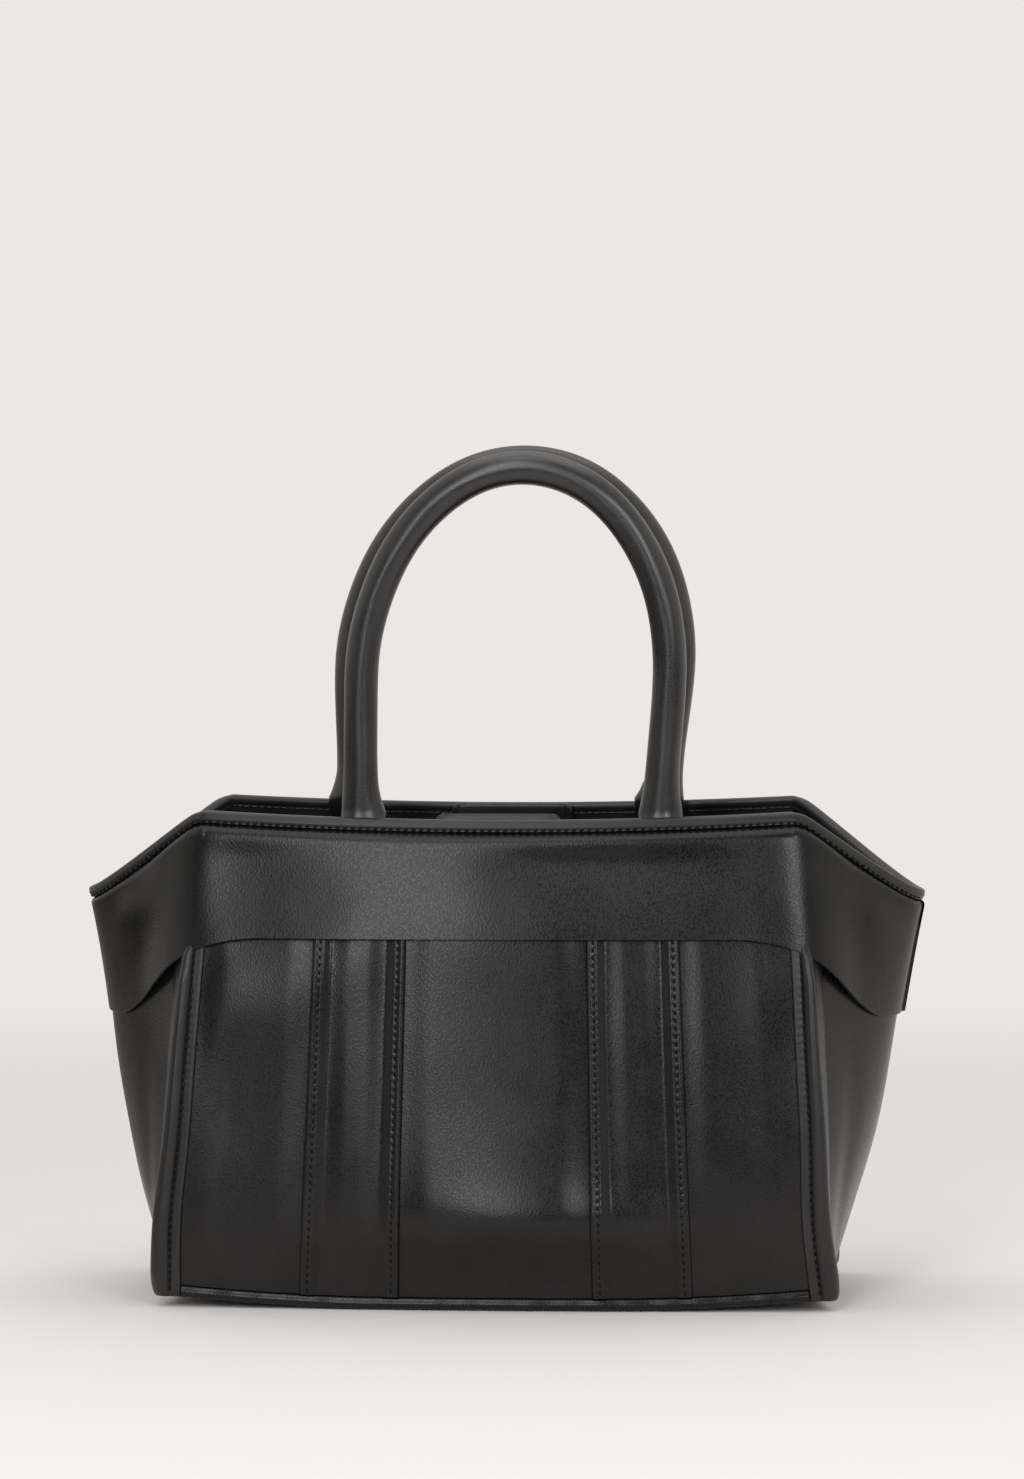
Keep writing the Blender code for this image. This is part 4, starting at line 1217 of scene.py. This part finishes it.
class HANDBAG_OT_lining(bpy.types.Operator):
    """The cloth lining: one wall all the way round, and a floor"""

    bl_idname = "handbag.lining"
    bl_label = "Lining"

    def execute(self, context):
        half = np.concatenate([np.linspace(0, 0.94, 30), np.linspace(1.0, 2.0, 9),
                               np.linspace(2.06, 2.9, 20), np.linspace(2.92, 3.0, 4)])
        front = np.concatenate([-half[:0:-1], half])
        loop_q = np.concatenate([front, front[1:-1]])
        behind = np.concatenate([np.zeros(len(front), bool), np.ones(len(front) - 2, bool)])
        floor = BASE_PANEL_THICKNESS + BASE_BOARD_THICKNESS + 2 * GAP + LINING_CLOTH
        out = -GAP - LINING_SLACK
        shares = np.array([0.03, 0.15, 0.3, 0.45, 0.6, 0.75, 0.88, 0.96])
        rises = np.concatenate([[0.0, 0.012, 0.03], np.linspace(0.055, 1.0, 34)])
        rows = len(shares) + len(rises)

        def place(k, s):
            q = loop_q[k]
            back = behind[k]
            rim = np.where(back, rim_height(q, True), rim_height(q)) - LINING_TOP_BELOW_RIM
            rise = rises[np.clip(s - len(shares), 0, len(rises) - 1)]
            z = floor + (rim - floor) * rise
            folds = np.sin(q * 17.0 + 3.0 * back) * np.sin(q * 7.3 + 1.1)
            slack = 0.0011 * (0.5 + 0.5 * folds) * eased(rise / 0.15) * eased((1 - rise) / 0.25)
            soft = np.where(back, softness(q, z, True), softness(q, z, False))
            points = wall(q, z, out - slack + soft, back)
            flat = wall(q, floor, out, back)
            flat[..., 2] += lift(flat[..., 0])
            points[..., 2] += (flat[..., 2] - floor) * (1 - eased(rise / 0.3))
            share = shares[np.clip(s, 0, len(shares) - 1)]
            centre = flat * np.stack([share, share, np.ones_like(share)], axis=-1)
            centre[..., 2] = floor + lift(centre[..., 0])
            return np.where((s < len(shares))[..., None], centre, points)

        bm = laid_grid(len(loop_q) + 1, rows, lambda k, s: place(k % len(loop_q), s))
        bmesh.ops.remove_doubles(bm, verts=bm.verts, dist=MERGE_DISTANCE)
        rim_edges = [edge for edge in bm.edges if edge.is_boundary]
        inner = [e for e in rim_edges if max(v.co.z for v in e.verts) < 0.02]
        bmesh.ops.holes_fill(bm, edges=inner, sides=0)
        bmesh.ops.recalc_face_normals(bm, faces=bm.faces)
        area = sum(face.calc_area() for face in bm.faces)
        piece = add_piece("lining_cloth", bm, [lining_cloth(context)])
        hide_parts("lining")
        solid = piece.modifiers.new("Cloth", "SOLIDIFY")
        solid.thickness = LINING_CLOTH
        solid.offset = 0.0
        return {"FINISHED"}


def wall_lean(q, top):
    """Angle of the wall from upright, over the length of a tab inside the mouth."""
    drop = HANDLE_TAB_LENGTH
    return math.atan(float(wall(q, top, 0.0)[1] - wall(q, top - drop, 0.0)[1]) / drop)


def tab_directions(lean, back):
    """Down a tab that lies against the wall, and from it into the bag."""
    turn = 1 if back else -1
    down = np.array([0.0, turn * math.sin(lean), -math.cos(lean)])
    inward = np.array([0.0, -turn * math.cos(lean), -math.sin(lean)])
    return down, inward


def handle_axis(back):
    """A point on the line that a handle tilts about, just above and inside the rim."""
    foot, _, _, shift, _ = HANDLE_SIZES[back]
    q = (foot + abs(shift) + 1.1 * NECK_HALF_WIDTH) / RIM_HALF_WIDTH
    top = float(rim_height(q, back))
    depth = -float(wall(q, top, MOUTH_FACE)[1])
    y = depth - NECK_HALF_THICKNESS / math.cos(wall_lean(q, top))
    z = top + NECK_HALF_THICKNESS + HANDLE_RIM_CLEARANCE
    return np.array([shift, y if back else -y, z])


def handle_tab_directions(back):
    """Down a handle's tab, and from it into the bag."""
    foot, _, _, shift, _ = HANDLE_SIZES[back]
    top = float(handle_axis(back)[2])
    return tab_directions(wall_lean((foot + abs(shift)) / RIM_HALF_WIDTH, top), back)


def handle_line(back):
    """Centre, outward direction, height and length run along a handle, from tab to tab."""
    foot, arch, height, _, lean = HANDLE_SIZES[back]
    down, _ = handle_tab_directions(back)
    below = np.concatenate([HANDLE_TAB_LENGTH - np.array([0.0, 0.0004, 0.0012, 0.0025, 0.004]),
                            steps(HANDLE_TAB_LENGTH - 0.006, 0.0012, 0.0016)])
    rise = steps(0.0, LEG_HEIGHT, 0.0016)
    half = foot + (arch - foot) * eased(rise / LEG_HEIGHT)
    turn = np.linspace(0, math.pi, 121)[1:-1]
    over = LEG_HEIGHT + (height - LEG_HEIGHT) * np.sin(turn)
    h = np.concatenate([-below, rise, over, rise[::-1], -below[::-1]])
    side = np.concatenate([-np.full(len(below), foot), -half, -arch * np.cos(turn),
                           half[::-1], np.full(len(below), foot)])
    x = side + lean * np.clip(h / height, 0, None)
    centre = np.stack([x, np.zeros_like(h), np.maximum(h, 0.0)], axis=-1)
    centre = centre + np.where(h < 0, -h, 0.0)[:, None] * down + handle_axis(back)
    along = np.gradient(centre, axis=0)
    outward = np.stack([-along[:, 2], np.zeros_like(h), along[:, 0]], axis=-1)
    flat = np.array([1.0, 0.0, 0.0]) * np.sign(side)[:, None]
    outward = np.where((h < 0.4 * NECK_LENGTH)[:, None], flat, outward)
    outward /= np.linalg.norm(outward, axis=1)[:, None]
    return centre, outward, h, distance_along(centre)


class HANDBAG_OT_handles(bpy.types.Operator):
    """Rolled leather handles, full to the rim, that end in flat tabs sewn inside the mouth"""

    bl_idname = "handbag.handles"
    bl_label = "Handles"

    # How much wider the legs get at the rim, on each side, from left to right
    flares = {
        False: ((0.0002, 0.0030), (0.0014, 0.0016)),
        True: ((0.0030, 0.0010), (0.0048, 0.0010)),
    }

    def execute(self, context):
        for back, word in SIDES:
            self.cover(context, back, word)
            self.filling(context, back, word)
        return {"FINISHED"}

    def depths(self, context, h):
        """How far the roll reaches from its line, outwards and into the bag, at a height."""
        foot = 1 - np.clip(h / h.max(), 0.0, 1.0)
        fullness = context.scene.bag_handles.foot_fullness
        outer = TUBE_RADIUS - (TUBE_RADIUS - NECK_HALF_THICKNESS) * foot
        return outer, TUBE_RADIUS + (fullness - TUBE_RADIUS) * foot

    def cover(self, context, back, word):
        """The rolled leather, one skin from tab to tab."""
        shape = context.scene.bag_handles
        centre, outward, h, run = handle_line(back)
        base = handle_axis(back)
        foot, _, _, shift, _ = HANDLE_SIZES[back]
        down, inward = handle_tab_directions(back)
        level = np.array([0.0, -1.0 if back else 1.0, 0.0])
        full = NECK_LENGTH + NECK_GROWTH
        outer, inner = self.depths(context, h)
        inner = np.where(h < 0, NECK_HALF_THICKNESS + (inner - NECK_HALF_THICKNESS)
                         * (1 - eased(-h / 0.014)), inner)
        width = shape.foot_half_width + (TUBE_RADIUS - shape.foot_half_width) * eased(h / full)
        width = width + 0.0014 * eased((-h - 0.008) / 0.012)
        from_foot = HANDLE_TAB_LENGTH + h + 0.00005
        width = width * (0.45 + 0.55 * rounded(from_foot, 0.006))
        thin = np.where(h < 0, 0.55 + 0.45 * rounded(from_foot, 0.0012), 1.0)
        outer, inner = outer * thin, inner * thin
        roundness = 0.40 + 0.60 * eased((h + 0.012) / 0.012)
        flare = np.clip(1 - np.maximum(h, 0.0) / 0.014, 0, 1) ** 2
        flare = flare * (1 - eased((-h - 0.004) / 0.012))
        on_left = np.arange(len(h)) < len(h) // 2
        (left_out, left_in), (right_in, right_out) = self.flares[back]
        flare_out = flare * np.where(on_left, left_out, right_out)
        flare_in = flare * np.where(on_left, left_in, right_in)
        tipped = eased(-h / 0.006)[:, None]
        toward = level * (1 - tipped) + inward * tipped
        sides = 40

        def place(k, s):
            turn = 2 * math.pi * k / sides
            across = squared_off(np.cos(turn), roundness[s])
            deep = squared_off(np.sin(turn), roundness[s])
            wander = np.sin(run[s] * 96 + 1.7 * np.cos(turn)) * np.sin(run[s] * 41 + 2 * turn)
            uneven = 1 + 0.020 * wander * np.clip(h[s] / 0.02, 0, 1)
            wide = width[s] + np.where(across > 0, flare_out[s], flare_in[s])
            thick = (inner[s] + outer[s]) / 2
            middle = (inner[s] - outer[s]) / 2
            offset = outward[s] * (across * wide * uneven)[..., None]
            return centre[s] + offset + toward[s] * (middle + deep * thick * uneven)[..., None]

        bm = skin(sides, len(h), place)
        look = leather(context, "handle")
        name = word + "_handle"
        piece = add_piece(name + "_leather", bm, [look], body=None, sharp=60)
        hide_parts(word + "_handle_cover", word + "_handle_tab_left",
                    word + "_handle_tab_right")
        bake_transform(piece)
        for sign, hand in ((-1, "left"), (1, "right")):
            middle = base * np.array([0, 1, 1]) + np.array([shift + sign * foot, 0, 0])
            self.sew(context, name + "_stitches_" + hand, middle, down, inward)

    def sew(self, context, name, middle, down, inward):
        """Stitches down both edges of a tab and across its foot."""
        thread = context.scene.bag_thread
        along = np.arange(0.0155, HANDLE_TAB_LENGTH - 0.003, thread.pitch)
        lane = NECK_HALF_WIDTH - HANDLE_TAB_SEAM
        across = steps(-lane + HANDLE_TAB_SEAM, lane - HANDLE_TAB_SEAM, thread.pitch)
        spots = [(-lane, s) for s in along] + [(x, along[-1] + HANDLE_TAB_SEAM) for x in across]
        spots += [(lane, s) for s in along[::-1]]
        face = inward * (NECK_HALF_THICKNESS + 0.0001)
        points = [middle + np.array([a, 0, 0]) + down * s + face for a, s in spots]
        stitch_row(context, name, points, [inward] * len(points))

    def filling(self, context, back, word):
        """The twisted cotton cord inside the roll."""
        centre, outward, h, run = handle_line(back)
        kept = np.nonzero(h >= NECK_LENGTH + NECK_GROWTH)[0]
        radius = TUBE_RADIUS - TUBE_LEATHER - 0.0004
        outer, inner = self.depths(context, h)
        middle = (inner - outer) / 2 * (-1 if back else 1)
        sides = 24

        def place(k, s):
            s = kept[s]
            turn = 2 * math.pi * k / sides
            strand = np.abs(np.cos(1.5 * (turn - run[s] * 160)))
            reach = radius * (0.86 + 0.14 * strand)
            offset = outward[s] * (np.cos(turn) * reach)[..., None]
            offset[..., 1] += middle[s] + np.sin(turn) * reach
            return centre[s] + offset

        bm = skin(sides, len(kept), place)
        dark, light = (0.42, 0.38, 0.31), (0.62, 0.58, 0.50)
        look = fibre("cotton_filling_look", dark, light, 900.0, 0.0003, 0.85)
        name = word + "_handle_cord_filling"
        piece = add_piece(name, bm, [look], word + "_handle")
        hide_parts(word + "_handle_core")


class HANDBAG_OT_closures(bpy.types.Operator):
    """Leather tabs hung inside the mouth, each with one half of a magnetic snap"""

    bl_idname = "handbag.closures"
    bl_label = "Closure tabs and snap"

    def execute(self, context):
        for back, word in SIDES:
            top = float(rim_height(0.0, back))
            q = CLOSURE_HALF_WIDTH / RIM_HALF_WIDTH
            depth = -float(wall(q, top, MOUTH_FACE)[1]) - CLOSURE_THICKNESS / 2 - GAP / 2
            z = top + CLOSURE_RISE[back] - CLOSURE_THICKNESS / 2
            axis = np.array([0.0, depth if back else -depth, z])
            down, inward = tab_directions(wall_lean(0.2, top), back)
            self.tab(context, word, axis, down, inward)
            self.snap(context, back, word + "_closure", axis, down, inward)
        return {"FINISHED"}

    def half_width(self, distance):
        """The tab's half width, with small corners at its top and round ones at its foot."""
        from_top = np.clip(distance + CLOSURE_THICKNESS / 2, 0, None)
        from_foot = np.clip(CLOSURE_LENGTH - distance, 0, None)
        top = CLOSURE_TOP_CORNER * (1 - rounded(from_top + 0.0003, CLOSURE_TOP_CORNER))
        foot = CLOSURE_FOOT_CORNER * (1 - rounded(from_foot + 0.0003, CLOSURE_FOOT_CORNER))
        return CLOSURE_HALF_WIDTH - top - foot

    def tab(self, context, word, axis, down, inward):
        """A flat tab with rounded edges and a row of stitches round it."""
        thread = context.scene.bag_thread
        thick = CLOSURE_THICKNESS / 2
        along = np.concatenate([[-1.0, -0.93, -0.75, -0.45, 0.0], [0.6, 1.2, 2.0]]) * thick
        along = np.concatenate([along, steps(0.0045, 0.030, 0.0015), steps(0.031, 0.0365, 0.0011),
                                [0.0375, 0.0383, 0.039, 0.0395, 0.0399, 0.040]])
        half = self.half_width(along)
        from_end = np.minimum(along + thick, CLOSURE_LENGTH - along)
        full = 0.25 + 0.75 * rounded(from_end + 0.0001, thick)
        band = 0.0045
        near = np.array([0.0, 0.0002, 0.0006, 0.0011, 0.0017, 0.0024, CLOSURE_SEAM, 0.0034, band])
        flat = np.linspace(band, 1.0, 8)[1:]
        count = len(near) + len(flat)
        sides = 4 * count - 4

        def place(k, s):
            # Columns in from the nearer edge: 0 at an edge, and the most along the middle
            quarter = np.abs((k + count - 1) % (2 * count - 2) - (count - 1))
            quarter = np.clip(quarter, 0, count - 1)
            lower = (k % sides) >= sides // 2
            left = ((k + sides // 4) % sides) >= sides // 2
            from_edge = np.where(quarter < len(near), near[np.clip(quarter, 0, len(near) - 1)], 0.0)
            share = flat[np.clip(quarter - len(near), 0, len(flat) - 1)]
            from_edge = np.where(quarter < len(near), from_edge, band + (half[s] - band) * share)
            from_edge = np.minimum(from_edge, half[s])
            across = (half[s] - from_edge) * np.where(left, -1.0, 1.0)
            depth = thick * full[s] * (0.30 + 0.70 * rounded(from_edge, thick))
            groove = 0.00025 * dent(from_edge - CLOSURE_SEAM, 0.0006)
            depth = (depth - groove) * np.where(lower, -1.0, 1.0)
            points = axis + down * along[s][..., None] + inward * depth[..., None]
            points[..., 0] += across
            return points

        bm = skin(sides, len(along), place)
        look = leather(context, "trim")
        body = word + "_closure"
        name = word + "_closure_tab"
        stand_in(name, bm, [look], body)
        track = np.linspace(0.0005, CLOSURE_LENGTH - CLOSURE_SEAM, 400)
        lane = np.maximum(0.0, self.half_width(track + 0.0018) - CLOSURE_SEAM)
        shape = np.concatenate([np.stack([-lane, track], -1), np.stack([lane, track], -1)[::-1]])
        run = distance_along(shape)
        spots = np.arange(0.5, run[-1] / thread.pitch - 0.5) * thread.pitch
        a, s = np.interp(spots, run, shape[:, 0]), np.interp(spots, run, shape[:, 1])
        points = axis + down * s[:, None] + inward * (thick - 0.0001)
        points[:, 0] += a
        normals = [inward] * len(points)
        stitch_row(context, name + "_stitches", points, normals, body)

    def snap(self, context, back, body, axis, down, inward):
        """The stud on the back tab, and the socket on the front one, turned about their middle."""
        middle = axis + down * SNAP_DEPTH + inward * (CLOSURE_THICKNESS / 2 + GAP)
        rim, thick, boss, rise = SNAP_RADIUS, SNAP_THICKNESS, SNAP_BOSS_RADIUS, SNAP_BOSS_HEIGHT
        lip = [(rim, 0.0), (rim, 0.62 * thick), (0.985 * rim, 0.80 * thick),
               (0.95 * rim, 0.93 * thick), (0.90 * rim, thick), (0.78 * rim, thick),
               (0.75 * rim, 0.90 * thick), (0.70 * rim, 0.90 * thick), (0.67 * rim, thick)]
        if back:
            lip += [(1.12 * boss, thick), (1.0 * boss, 1.05 * thick),
                    (0.98 * boss, thick + 0.6 * rise), (0.92 * boss, thick + 0.9 * rise),
                    (0.80 * boss, thick + rise), (0.45 * boss, thick + rise),
                    (0.40 * boss, thick + 0.85 * rise)]
        else:
            well = boss + GAP
            lip += [(1.15 * well, thick), (1.06 * well, 0.98 * thick), (1.01 * well, 0.92 * thick),
                    (well, 0.7 * thick), (0.97 * well, thick - rise), (0.50 * well, thick - rise),
                    (0.46 * well, thick - 0.85 * rise)]
        profile = np.array(lip)
        sides = 56

        def place(k, s):
            turn = 2 * math.pi * k / sides
            reach = profile[s, 0]
            points = middle + down * (np.sin(turn) * reach)[..., None]
            points = points + inward * profile[s, 1][..., None]
            points[..., 0] += np.cos(turn) * reach
            return points

        bm = skin(sides, len(profile), place)
        name = "snap_stud" if back else "snap_socket"
        piece = add_piece(name + "_steel", bm, [steel(context)], body)
        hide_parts(name)


class HANDBAG_OT_base_board(bpy.types.Operator):
    """Pressed board that stiffens the base: the frame's own solid, with a finish of its own"""

    bl_idname = "handbag.base_board"
    bl_label = "Base board"

    def execute(self, context):
        dark, light = (0.20, 0.17, 0.14), (0.32, 0.28, 0.23)
        look = fibre("pressed_board_look", dark, light, 700.0, 0.0002, 0.8)
        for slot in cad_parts["base_board"].material_slots:
            slot.material = look
        return {"FINISHED"}


class HANDBAG_OT_stage(bpy.types.Operator):
    """Pale floor, soft lights and the camera at the photograph's angle"""

    bl_idname = "handbag.stage"
    bl_label = "Stage"

    def execute(self, context):
        stage = context.scene.bag_stage
        self.floor(stage)
        self.sky(context, stage)
        cool, plain, warm = (0.95, 0.97, 1.0), (0.97, 0.98, 1.0), (1.0, 0.985, 0.96)
        self.lamp(context, "key", (-10.1, 20), 2.4, (0.6, 1.6), stage.key_power, cool)
        self.lamp(context, "side", (26, 18), 2.4, (0.7, 1.0), stage.side_power, plain)
        self.lamp(context, "high", (-9, 56), 2.2, (0.6, 1.4), stage.high_power, plain)
        self.lamp(context, "overhead", (180, 86), 1.7, (1.6, 1.6), stage.top_power, warm)
        self.camera(context)
        context.scene.view_settings.view_transform = "Standard"
        return {"FINISHED"}

    def floor(self, stage):
        """Pale paper that looks endless. The bag mirrors it unlit in front, and dim at the left."""
        bm = bmesh.new()
        bmesh.ops.create_circle(bm, cap_ends=True, segments=96, radius=8.0)
        mesh = bpy.data.meshes.new("floor")
        bm.to_mesh(mesh)
        bm.free()
        floor = bpy.data.objects.new("floor", mesh)
        bpy.context.scene.collection.objects.link(floor)
        material, tree, shader = new_material("floor_paper", stage.backdrop, 0.9)
        feed(tree, shader, Specular_IOR_Level=0.1)
        space = object_space(tree)
        reach = add_node(tree, "ShaderNodeVectorMath", operation="LENGTH")
        plug(tree, space, reach.inputs[0])
        far = spread(tree, reach.outputs["Value"], 0.55, 1.6, 0.0, 1.0)
        glow = add_node(tree, "ShaderNodeEmission")
        split = add_node(tree, "ShaderNodeSeparateXYZ")
        plug(tree, space, split.inputs[0])
        aside = combine(tree, "MULTIPLY", split.outputs["X"], 0.25)
        unlit = spread(tree, combine(tree, "ADD", split.outputs["Y"], aside), -0.6, 0.9, 0.0, 1.0)
        path = add_node(tree, "ShaderNodeLightPath")
        strength = combine(tree, "MAXIMUM", unlit, path.outputs["Is Camera Ray"])
        feed(tree, glow, Color=(*stage.backdrop, 1.0), Strength=strength)
        endless = mixed(tree, far, shader.outputs[0], glow.outputs[0])
        left = spread(tree, split.outputs["X"], -0.34, -0.14, 0.6, 0.0)
        mirrored = combine(tree, "MULTIPLY", left, path.outputs["Is Glossy Ray"])
        dimmed = mixed(tree, mirrored, endless)
        feed(tree, tree.nodes["Material Output"], Surface=dimmed)
        mesh.materials.append(material)

    def sky(self, context, stage):
        """A room that is bright behind the bag and beside it, and dark behind the camera."""
        world = bpy.data.worlds.new("room")
        context.scene.world = world
        world.use_nodes = True
        tree = world.node_tree
        room = tree.nodes["Background"]
        split = add_node(tree, "ShaderNodeSeparateXYZ")
        plug(tree, add_node(tree, "ShaderNodeTexCoord").outputs["Generated"], split.inputs[0])
        aside = combine(tree, "ABSOLUTE", split.outputs["X"], 0.0)
        around = combine(tree, "ADD", split.outputs["Y"], aside)
        strength = spread(tree, around, -0.75, 0.7, 0.03, 0.78)
        feed(tree, room, Color=(1.0, 0.975, 0.94, 1.0), Strength=strength)
        plain = feed(tree, add_node(tree, "ShaderNodeBackground"), Color=(*stage.backdrop, 1.0))
        path = add_node(tree, "ShaderNodeLightPath")
        seen = mixed(tree, path.outputs["Is Camera Ray"], room.outputs[0], plain.outputs[0])
        feed(tree, tree.nodes["World Output"], Surface=seen)

    def lamp(self, context, name, way, distance, size, power, colour):
        """A softbox seen from the bag at an azimuth from the front and an elevation."""
        data = bpy.data.lights.new(name, "AREA")
        data.shape = "RECTANGLE"
        data.size, data.size_y = size
        data.energy = power
        data.color = colour
        lamp = bpy.data.objects.new(name, data)
        turn, rise = [math.radians(angle) for angle in way]
        way = Vector((math.sin(turn) * math.cos(rise), -math.cos(turn) * math.cos(rise),
                      math.sin(rise)))
        lamp.location = Vector((0.0, -0.03, 0.15)) + way * distance
        lamp.rotation_euler = way.to_track_quat("Z", "Y").to_euler()
        context.scene.collection.objects.link(lamp)

    def camera(self, context):
        data = bpy.data.cameras.new("camera")
        data.sensor_fit = "VERTICAL"
        data.sensor_height = CAMERA_SENSOR
        data.lens = CAMERA_LENS
        data.clip_end = 50.0
        camera = bpy.data.objects.new("camera", data)
        across = math.sin(CAMERA_AZIMUTH) * CAMERA_DISTANCE
        away = math.cos(CAMERA_AZIMUTH) * CAMERA_DISTANCE
        camera.location = (CAMERA_AIM.x + across, CAMERA_AIM.y - away, CAMERA_HEIGHT)
        way = camera.location - CAMERA_AIM
        camera.rotation_euler = way.to_track_quat("Z", "Y").to_euler()
        context.scene.collection.objects.link(camera)
        context.scene.camera = camera


class HANDBAG_PT_sidebar(bpy.types.Panel):
    """The settings and the pieces of the bag"""

    bl_idname = "HANDBAG_PT_sidebar"
    bl_label = "Handbag"
    bl_space_type = "VIEW_3D"
    bl_region_type = "UI"
    bl_category = "Handbag"

    def draw(self, context):
        layout = self.layout
        for name, group in SETTINGS.items():
            box = layout.box()
            box.label(text=group.__doc__)
            for key in group.__annotations__:
                box.prop(getattr(context.scene, name), key)
        for operator in OPERATORS:
            layout.operator(operator.bl_idname)


SETTINGS = {
    "bag_leather": LeatherSettings,
    "bag_thread": ThreadSettings,
    "bag_handles": HandleSettings,
    "bag_stage": StageSettings,
}
OPERATORS = (
    HANDBAG_OT_wall_panels,
    HANDBAG_OT_strips,
    HANDBAG_OT_gussets,
    HANDBAG_OT_corner_trims,
    HANDBAG_OT_collars,
    HANDBAG_OT_rim_trims,
    HANDBAG_OT_facings,
    HANDBAG_OT_base,
    HANDBAG_OT_lining,
    HANDBAG_OT_base_board,
    HANDBAG_OT_handles,
    HANDBAG_OT_closures,
    HANDBAG_OT_stage,
)


def register():
    for group in SETTINGS.values():
        bpy.utils.register_class(group)
    for operator in OPERATORS:
        bpy.utils.register_class(operator)
    bpy.utils.register_class(HANDBAG_PT_sidebar)
    for name, group in SETTINGS.items():
        setattr(bpy.types.Scene, name, PointerProperty(type=group))


def unregister():
    for name in SETTINGS:
        delattr(bpy.types.Scene, name)
    bpy.utils.unregister_class(HANDBAG_PT_sidebar)
    for operator in reversed(OPERATORS):
        bpy.utils.unregister_class(operator)
    for group in reversed(list(SETTINGS.values())):
        bpy.utils.unregister_class(group)


def main():
    register()
    for operator in OPERATORS:
        group, name = operator.bl_idname.split(".")
        getattr(getattr(bpy.ops, group), name)()


if __name__ == "__main__":
    main()
